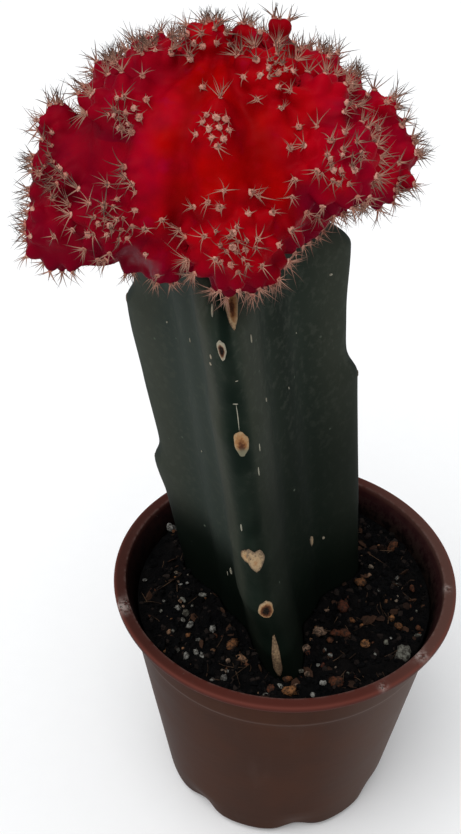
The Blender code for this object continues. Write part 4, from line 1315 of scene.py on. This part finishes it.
SEEN_TUFTS = (
    (130, 167), (130, 176), (136, 183), (64, 168), (62, 182), (69, 176), (43, 173), (108, 206),
    (85, 191), (118, 218), (99, 64), (90, 91), (83, 97), (120, 60), (168, 55), (190, 60),
    (135, 43), (124, 99), (204, 36), (213, 33), (222, 36), (193, 37), (218, 28), (60, 103), (52, 109),
    (46, 144), (243, 30), (275, 22), (287, 21), (244, 60), (258, 64), (276, 60), (292, 67),
    (303, 55), (335, 57), (350, 87), (342, 105), (374, 93), (390, 103), (399, 130), (410, 153),
    (354, 145), (370, 174), (288, 228),
)


def tree_of(points, faces):
    """A search tree over a surface."""
    return BVHTree.FromPolygons(points.tolist(), [list(map(int, face)) for face in faces])


def seen_spot(tree, x, y, near=0.0025):
    """Where a line of sight meets the surface, or the nearest place on it if it just passes by."""
    line = sight(x, y)
    spot, normal, _, _ = tree.ray_cast(CAMERA_PLACE, line)
    if spot is not None:
        return spot, normal
    tries = [tree.find_nearest(CAMERA_PLACE + line * t) for t in np.linspace(0.10, 0.22, 121)]
    spot, normal, _, distance = min(tries, key=lambda found: found[3])
    return (spot, normal) if distance < near else (None, None)


flesh_tree = tree_of(flesh_points, flesh_faces)
areoles = []
for kind, picture in (("star", SEEN_STARS), ("pad", SEEN_PADS), ("tuft", SEEN_TUFTS)):
    for x, y in picture:
        spot, normal = seen_spot(flesh_tree, x, y)
        if spot is not None:
            areoles.append((kind, np.array(spot), np.array(normal)))
print(len(areoles), "areoles laid by picture point")

# %% Areoles in rings and crowds on every offset
RING_TILTS = (38, 62, 86, 108)
RING_PITCH = 0.0024
CROWD = 10
CROWD_SPREAD = math.radians(24)
LARGE_TIP = 0.004
LARGE_TIP_MORE = 4
MOTHER_RISES = (62, 40, 18, -4)
CLEARANCE = {"crowd": 0.00056, "ring": 0.0017, "mother": 0.0022}
SKIN_LIMITS = (0.8, 1.25)
LEAST_OUTWARD = 0.45
LEAST_FACING = 0.42
HURT_REACH = 0.0032
OUTWARD_START = 3
HURT_SPOTS = ((128, 255, 0.0017), (136, 259, 0.0021), (145, 265, 0.0018), (152, 271, 0.0014))


def skin_spot(tree, centre, away, size):
    """Where an offset's skin lies in a direction from its centre, unless a neighbour covers it."""
    start = centre + away * OUTWARD_START * size
    spot, normal, _, distance = tree.ray_cast(Vector(start), Vector(-away))
    if spot is None:
        return None
    reach = OUTWARD_START * size - distance
    near_skin = SKIN_LIMITS[0] * size < reach < SKIN_LIMITS[1] * size
    if not near_skin or np.dot(normal, away) < LEAST_OUTWARD:
        return None
    return np.array(spot), np.array(normal)


def is_clear(spot, distance):
    """Whether no areole stands within a distance of a spot."""
    return all(np.linalg.norm(spot - other) > distance for _, other, _ in areoles)


def in_sight(spot, normal):
    """Whether the photograph shows a spot plainly, so that its areoles are laid by picture point."""
    line = unit(np.array(CAMERA_PLACE) - spot)
    if np.dot(line, normal) < LEAST_FACING:
        return False
    hit, _, _, _ = flesh_tree.ray_cast(Vector(spot + normal * 0.0002), Vector(line))
    return hit is None


def is_hurt(spot):
    """Whether a spot lies on the damaged patch, where no young areoles are left."""
    hit, _, _, _ = flesh_tree.ray_cast(CAMERA_PLACE, sight(*HURT_SPOTS[1][:2]))
    return np.linalg.norm(spot - np.array(hit)) < HURT_REACH


def ring_areole(centre, away, size, clearance):
    """Adds an areole in a direction from a centre, clear of others and out of the camera's plain view."""
    found = skin_spot(flesh_tree, centre, away, size)
    if found and is_clear(found[0], clearance) and not in_sight(*found):
        areoles.append(("ring", *found))


draw = np.random.default_rng(5)
crowded = [name not in PLAIN_TIPS for name in FRONT_OFFSETS] + [True] * len(offsets)
for (centre, axis, size), has_crowd in zip(offsets, crowded):
    frame_axes = axes_along(np.array([axis]), np.array([draw.uniform(0, 6.28)]))[0]
    for k in range((CROWD + int(size > LARGE_TIP) * LARGE_TIP_MORE) * has_crowd):
        polar = CROWD_SPREAD * math.sqrt((k + 0.3) / CROWD) * draw.uniform(0.85, 1.1)
        away = frame_axes @ towards(2.4 * k, math.pi / 2 - polar)
        found = skin_spot(flesh_tree, centre, away, size)
        if found and is_clear(found[0], CLEARANCE["crowd"]) and not is_hurt(found[0]):
            areoles.append(("crowd", *found))
    for row, polar in enumerate(RING_TILTS):
        count = max(4, round(2 * np.pi * size * math.sin(math.radians(polar)) / RING_PITCH))
        for k in range(count):
            turned = 2 * np.pi * (k + 0.5 * (row % 2)) / count + draw.uniform(-0.12, 0.12)
            away = frame_axes @ towards(turned, math.radians(90 - polar + draw.uniform(-5, 5)))
            ring_areole(centre, away, size, CLEARANCE["ring"])
for rib in range(MOTHER_RIBS):
    for rise in MOTHER_RISES:
        away = towards(MOTHER_RIB_TURN + 2 * np.pi * rib / MOTHER_RIBS, math.radians(rise))
        ring_areole(MOTHER_CENTRE, away, MOTHER_WIDTH * 0.9, CLEARANCE["mother"])
print(len(areoles), "areoles in all")

# %% [markdown]
# ## Raising the flesh under its areoles
# Under each areole the rib swells into a chin. The skin is raised there by a bell of the distance to
# the areole, highest under the ring areoles and lowest in the crowds, and it dips between areoles on
# the offsets. Distances to the bodies give the colour its numbers: how deep a point lies in a fold
# and whether it lies underneath, which set where shade is painted, and whether it belongs to an
# offset and is of the cooler red.

# %% Chins, folds and the skin's numbers
CHIN_HEIGHT = {"star": 0.00095, "ring": 0.00100, "pad": 0.00075, "tuft": 0.00095, "crowd": 0.00022}
CHIN_WIDTH = {"star": 0.00088, "ring": 0.00088, "pad": 0.00080, "tuft": 0.00088, "crowd": 0.00040}
DIP = 0.00075
DIP_WIDTH = 0.0016
FOLD_WIDTH = 0.0012
ROOT_FOLD_WIDTH = 0.0020
WARM_MIDDLE = -0.0105
SKIN_LUMP = 0.00004


def normals_at_points(points, faces):
    """Each point's normal: the sum of the normals of the quads round it."""
    corners = points[faces]
    across = np.cross(corners[:, 2] - corners[:, 0], corners[:, 3] - corners[:, 1])
    total = [np.bincount(faces.ravel(), np.repeat(part, 4), len(points)) for part in across.T]
    return unit(np.stack(total, axis=1))


def nearest_bodies(points):
    """Distances to the nearest body's plain skin, the second nearest, the mother's and an offset's.

    The last number is how far a point lies below the middle of the nearest offset, in radii."""
    mother = mother_field(points)[0]
    others = np.array([np.linalg.norm(points - centre, axis=1) - size for centre, _, size in bodies])
    nearest, second = np.sort(np.concatenate([mother[None], others]), axis=0)[:2]
    middles = np.array([[centre[2], size] for centre, _, size in bodies])[others.argmin(0)]
    return nearest, second, mother, others.min(0), (middles[:, 0] - points[:, 2]) / middles[:, 1]


first_gap, second_gap, mother_gap, offset_gap, sunk = nearest_bodies(flesh_points)
outside_mother = mother_gap - offset_gap
fold = bell(second_gap - first_gap, FOLD_WIDTH) * (1 - 0.65 * bell(outside_mother, ROOT_FOLD_WIDTH))
young = smooth_step(-0.0012, 0.0012, outside_mother)
side = np.abs(flesh_points[:, 0] - WARM_MIDDLE) + 0.0016 * ripple(flesh_points, 0.006, 61)
far_side = smooth_step(0.0040, 0.0150, side)
cool = np.maximum(smooth_step(-0.0036, 0.0022, outside_mother) * (0.30 + 0.70 * far_side), far_side)
flesh_heading = np.arctan2(flesh_points[:, 1], flesh_points[:, 0] - MOTHER_CENTRE[0])
furrow = furrows(MOTHER_RIBS, flesh_heading - MOTHER_RIB_TURN)
flesh_out = normals_at_points(flesh_points, flesh_faces)
lift = np.zeros(len(flesh_points))
clearing = np.full(len(flesh_points), 1.0)
for kind, spot, normal in areoles:
    square = ((flesh_points - spot) ** 2).sum(1)
    lift = np.maximum(lift, CHIN_HEIGHT[kind] * np.exp(-square / (2 * CHIN_WIDTH[kind] ** 2)))
    clearing = np.minimum(clearing, np.sqrt(square))
dip = DIP * (1 - bell(clearing, DIP_WIDTH)) * young
grown = lift - dip + SKIN_LUMP * ripple(flesh_points, 0.0019, 21)
flesh_points = flesh_points + flesh_out * grown[:, None] * free
hurt, ragged = np.zeros(len(flesh_points)), ripple(flesh_points, 0.0020, 33)
for x, y, size in HURT_SPOTS:
    spot, _, _, _ = flesh_tree.ray_cast(CAMERA_PLACE, sight(x, y))
    away = np.linalg.norm(flesh_points - np.array(spot), axis=1)
    hurt = np.maximum(hurt, 1 - smooth_step(0.45 * size, 1.20 * size, away + 0.12 * size * ragged))
flesh = make_piece(
    "scion_flesh",
    flesh_points,
    flesh_faces.tolist(),
    "scion_skin",
    fold=fold,
    cool=cool,
    furrow=furrow * (1 - young),
    under=np.maximum(smooth_step(0.1, 0.9, -flesh_out[:, 2]), 0.8 * young * smooth_step(-0.1, 0.9, sunk)),
    hurt=hurt,
)
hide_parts("scion")
flesh_tree = tree_of(flesh_points, flesh_faces)


def settled(spot, normal):
    """The spot and the outward normal on the grown flesh, straight out from the old spot."""
    found, out, _, _ = flesh_tree.ray_cast(Vector(spot + normal * 0.002), Vector(-normal))
    return (spot, normal) if found is None else (np.array(found), np.array(out))


kinds = np.array([kind for kind, _, _ in areoles])
areole_spots, grown_ups = np.array([settled(spot, unit(out)) for _, spot, out in areoles]).swapaxes(0, 1)
areole_ups = unit(grown_ups + np.array([out for _, _, out in areoles]))

# %% [markdown]
# The flesh has no green in it, which is why it must be grafted: scarlet on the mother and crimson on
# the offsets. Painted shade makes it maroon in the mother's furrows, in the folds, lower down,
# underneath and to the left, and a painted sheen lies on it in pinkish patches. The skin is waxy and
# very finely pebbled.

# %% Finish of the flesh
red = Finish("scion_flesh", specular=0.02)
drift = red.noise(0.007, detail=3.0)
fine_drift = red.noise(0.0012, detail=3.0)
scarlet = red.mix(drift.ramp(0.38, 0.62), (0.355, 0.0, 0.0), (0.260, 0.0, 0.0))
crimson = red.mix(drift.ramp(0.38, 0.62), (0.345, 0.0, 0.0090), (0.235, 0.0, 0.0110))
dried = red.value("hurt") * (0.45 + red.noise(0.0011, detail=3.0).ramp(0.40, 0.60) * 0.45)
flesh_colour = red.coats(
    red.mix(red.value("cool"), scarlet, crimson),
    (red.value("furrow").ramp(0.3, 1.0) * 0.45, (0.170, 0.0, 0.0010)),  # painted shade in the mother's furrows
    (red.noise(0.0045).ramp(0.60, 0.74) * 0.30, (0.290, 0.0, 0.0330)),  # painted sheen in pinkish patches
    (fine_drift.ramp(0.5, 0.8) * 0.22, (0.400, 0.0, 0.0080)),  # fine mottling
    ((1 - red.axis("Z").ramp(0.1240, 0.1360)) * 0.35, (0.130, 0.0, 0.0110)),  # painted shade, darker lower down
    (red.value("under") * 0.75, (0.085, 0.0, 0.0120)),  # painted shade underneath and on each offset's lower half
    (red.axis("X").ramp(-0.0190, -0.0300) * 0.55, (0.115, 0.0, 0.0065)),  # painted shade, darker to the left
    (red.value("fold") * 0.45, (0.085, 0.0, 0.0045)),  # painted shade in the folds
    (dried, (0.165, 0.052, 0.062)),  # the dried, damaged patch
)
pebbles = red.bump(red.cells(0.00028), 0.000010)
swell = red.bump(red.noise(0.0014, detail=3.0), 0.00004, pebbles)
red.done(flesh, Base_Color=flesh_colour, Roughness=0.40 + fine_drift * 0.16, Normal=swell)
print("flesh finished")

# %% [markdown]
# ## Wool and spines
# An areole's wool is a lumpy low dome with short fibres standing out of it. The spines are bent
# tapered rods: on the ribs seven lie out like a star, at the tips they stand up in a crowd.

# %% Wool
WOOL_RADIUS = {"star": 0.00042, "ring": 0.00042, "pad": 0.00042, "tuft": 0.00046, "crowd": 0.00032}
WOOL_HEIGHT = {"star": 0.00020, "ring": 0.00020, "pad": 0.00026, "tuft": 0.00030, "crowd": 0.00022}
WOOL_SIDES = 8
WOOL_SLOPES = (2.0, 1.5, 1.0, 0.5)
WOOL_FIBRES = 16
WOOL_FIBRE_WIDTH = 0.000045


def many(values, count):
    """Each row repeated count times."""
    return np.repeat(values, count, axis=0)


def leaning(frames, azimuth, lean):
    """Directions at an angle from each frame's third axis, at a turn about it."""
    return np.einsum("nij,nj->ni", frames, towards(azimuth, math.pi / 2 - lean))


draw = np.random.default_rng(8)
wool_radius = np.array([WOOL_RADIUS[kind] for kind in kinds]) * draw.uniform(0.70, 1.15, len(kinds))
wool_height = np.array([WOOL_HEIGHT[kind] for kind in kinds]) * draw.uniform(0.75, 1.3, len(kinds))
wool_frames = axes_along(areole_ups, draw.uniform(0, 6.28, len(kinds)))
dome = towards(circle(WOOL_SIDES), math.pi / 2 - np.array(WOOL_SLOPES)[:, None])
lumps = draw.uniform(0.62, 1.32, (len(kinds), *dome.shape[:2], 1))
half_sizes = np.stack([wool_radius, wool_radius, wool_height], axis=-1)
local = dome * lumps * half_sizes[:, None, None]
domes = np.einsum("nij,nrsj->nrsi", wool_frames, local) + areole_spots[:, None, None]
pole = areole_ups * wool_height[:, None]
dome_ends = np.stack([areole_spots - pole * 0.7, areole_spots + pole], axis=1)
points, faces, size = closed_copies(domes, dome_ends)
tone = draw.uniform(0, 1, len(kinds)) * np.where(kinds == "crowd", 0.5, 1.0)
wool = make_piece("areole_wool", points, faces, "scion_skin", tone=np.repeat(tone, size))

count = len(kinds) * WOOL_FIBRES
frames = many(wool_frames, WOOL_FIBRES)
azimuth = draw.uniform(0, 6.28, count)
lean = draw.uniform(0.1, 1.45, count)
spread = draw.uniform(0.2, 0.75, count) * many(wool_radius, WOOL_FIBRES)
bases = many(areole_spots, WOOL_FIBRES) + leaning(frames, azimuth, lean) * spread[:, None]
heads = leaning(frames, azimuth + draw.uniform(-1.2, 1.2, count), lean)
lengths = many(wool_radius, WOOL_FIBRES) * draw.uniform(0.6, 1.2, count)
points, faces, along = hairs(bases, heads, 0 * heads, lengths, np.full(count, WOOL_FIBRE_WIDTH), 1, 3)
fibres = make_piece("areole_fibres", points, faces, "scion_skin", along=along)

# %% Spines
SPINES = {"star": 7, "ring": 9, "pad": 4, "tuft": 8, "crowd": 5}
SPINE_LEAN = {"star": (12, 66), "ring": (5, 64), "pad": (25, 75), "tuft": (6, 58), "crowd": (3, 52)}
SPINE_LENGTH = {
    "star": (1.0, 2.4), "ring": (1.5, 3.1), "pad": (0.6, 1.3), "tuft": (1.7, 3.5), "crowd": (1.2, 2.9),
}
SPINE_WIDTH = {"star": 0.000084, "ring": 0.000090, "pad": 0.000078, "tuft": 0.000100, "crowd": 0.000088}
SPINE_BEND = (0.05, 0.60)
SPINE_FOOT = 0.00012
SHORTEST_SPINE = 0.0002
SPINE_MARGIN = 0.0002


def room(bases, heads):
    """How far a ray runs inside the frame's box: the least of its distances to the three far planes."""
    low, high = np.array(cad_box[0]) + SPINE_MARGIN, np.array(cad_box[1]) - SPINE_MARGIN
    steady = np.where(np.abs(heads) < 1e-6, 1e-6, heads)
    return np.where(steady > 0, (high - bases) / steady, (low - bases) / steady).min(1)


def spine_piece(name, kinds_here, rings, corners, seed):
    """All spines of some kinds of areole: evenly turned about it, each with its own lean and bend."""
    draw = np.random.default_rng(seed)
    bases, heads, bends, lengths, widths = [], [], [], [], []
    for kind in kinds_here:
        chosen = np.flatnonzero(kinds == kind)
        number = SPINES[kind]
        frames = many(wool_frames[chosen], number)
        total = len(chosen) * number
        azimuth = np.tile(circle(number), len(chosen)) + draw.uniform(-0.35, 0.35, total)
        lean = np.radians(draw.uniform(*SPINE_LEAN[kind], total))
        head = leaning(frames, azimuth, lean)
        side = leaning(frames, azimuth + draw.uniform(-2.5, 2.5, total), np.full(total, 1.5))
        bases.append(many(areole_spots[chosen], number) + head * SPINE_FOOT)
        heads.append(head)
        bends.append(side * draw.uniform(*SPINE_BEND, total)[:, None])
        lengths.append(draw.uniform(*SPINE_LENGTH[kind], total) * MM)
        widths.append(SPINE_WIDTH[kind] * draw.uniform(0.75, 1.15, total))
    bases, heads, bends, lengths, widths = map(np.concatenate, (bases, heads, bends, lengths, widths))
    lengths = np.clip(room(bases, heads + bends), SHORTEST_SPINE, lengths)
    points, faces, along = hairs(bases, heads, bends, lengths, widths, rings, corners)
    tone = np.repeat(draw.uniform(0, 1, len(bases)), len(points) // len(bases))
    return make_piece(name, points, faces, "scion_skin", along=along, tone=tone)


rib_spines = spine_piece("rib_spines", ("star", "ring", "pad"), 4, 4, 31)
tip_spines = spine_piece("tip_spines", ("tuft", "crowd"), 5, 4, 32)

# %% Finish of wool and spines
SPINE_SPECULAR = 0.08
felt = Finish("areole_wool", SPINE_SPECULAR)
felt_drift = felt.noise(0.00025, detail=3.0, rough=0.7)
felt_colour = felt.coats(
    felt.mix(felt.value("tone"), (0.500, 0.188, 0.138), (0.670, 0.366, 0.285)),
    (felt_drift.ramp(0.40, 0.75) * 0.4, (0.330, 0.090, 0.065)),
)
felt.done(wool, Base_Color=felt_colour, Roughness=0.95, Normal=felt.bump(felt_drift, 0.00012))
floss = Finish("areole_fibres", SPINE_SPECULAR)
floss_colour = floss.mix(floss.value("along"), (0.540, 0.210, 0.160), (0.740, 0.450, 0.375))
floss.done(fibres, Base_Color=floss_colour, Roughness=0.9)
for piece, base, tip, aged, dark_from in (
    (rib_spines, (0.530, 0.283, 0.203), (0.085, 0.062, 0.048), (0.290, 0.145, 0.106), 0.95),
    (tip_spines, (0.490, 0.266, 0.192), (0.034, 0.029, 0.024), (0.180, 0.105, 0.078), 0.78),
):
    horn = Finish(piece.name, SPINE_SPECULAR)
    along, tone = horn.value("along"), horn.value("tone")
    warm = horn.mix(along.ramp(0.02, dark_from), base, tip)
    toned = horn.mix(tone * along.ramp(0.1, 0.4) * 0.5, warm, aged)
    horn.done(piece, Base_Color=toned, Roughness=0.55 + tone * 0.15)
print("wool and spines finished")

# %% [markdown]
# ## Floor and light
# A pale floor and a soft sun high up, with a weak even sky, stand in for a studio.

# %% Floor and light
FLOOR_REACH = 3.0
SKY_COLOUR = (0.96, 0.98, 1.0, 1.0)
SKY_STRENGTH = 0.62
SUN_STRENGTH = 1.9
SUN_WIDTH = math.radians(50)
SUN_HEADING = Vector((0.28, 0.35, -1.0))
floor_corners = [(x * FLOOR_REACH, y * FLOOR_REACH, 0) for x, y in ((-1, -1), (1, -1), (1, 1), (-1, 1))]
floor_mesh = bpy.data.meshes.new("floor")
floor_mesh.from_pydata(floor_corners, [], [(0, 1, 2, 3)])
floor = bpy.data.objects.new("floor", floor_mesh)
bpy.context.scene.collection.objects.link(floor)
paper = Finish("floor_paper")
paper_tint = paper.mix(paper.noise(0.004, detail=4.0), (0.905, 0.905, 0.905), (0.925, 0.925, 0.925))
paper.done(floor, Base_Color=paper_tint, Roughness=0.9)

world = bpy.data.worlds.new("studio")
bpy.context.scene.world = world
world.use_nodes = True
sky = world.node_tree.nodes["Background"].inputs
sky["Color"].default_value = SKY_COLOUR
sky["Strength"].default_value = SKY_STRENGTH
sun = bpy.data.objects.new("soft_sun", bpy.data.lights.new("soft_sun", "SUN"))
sun.data.energy = SUN_STRENGTH
sun.data.angle = SUN_WIDTH
sun.rotation_euler = SUN_HEADING.to_track_quat("-Z", "Y").to_euler()
bpy.context.scene.collection.objects.link(sun)
bpy.context.scene.view_settings.view_transform = "Standard"
print("the sun gives", SUN_STRENGTH, "and the sky", SKY_STRENGTH)
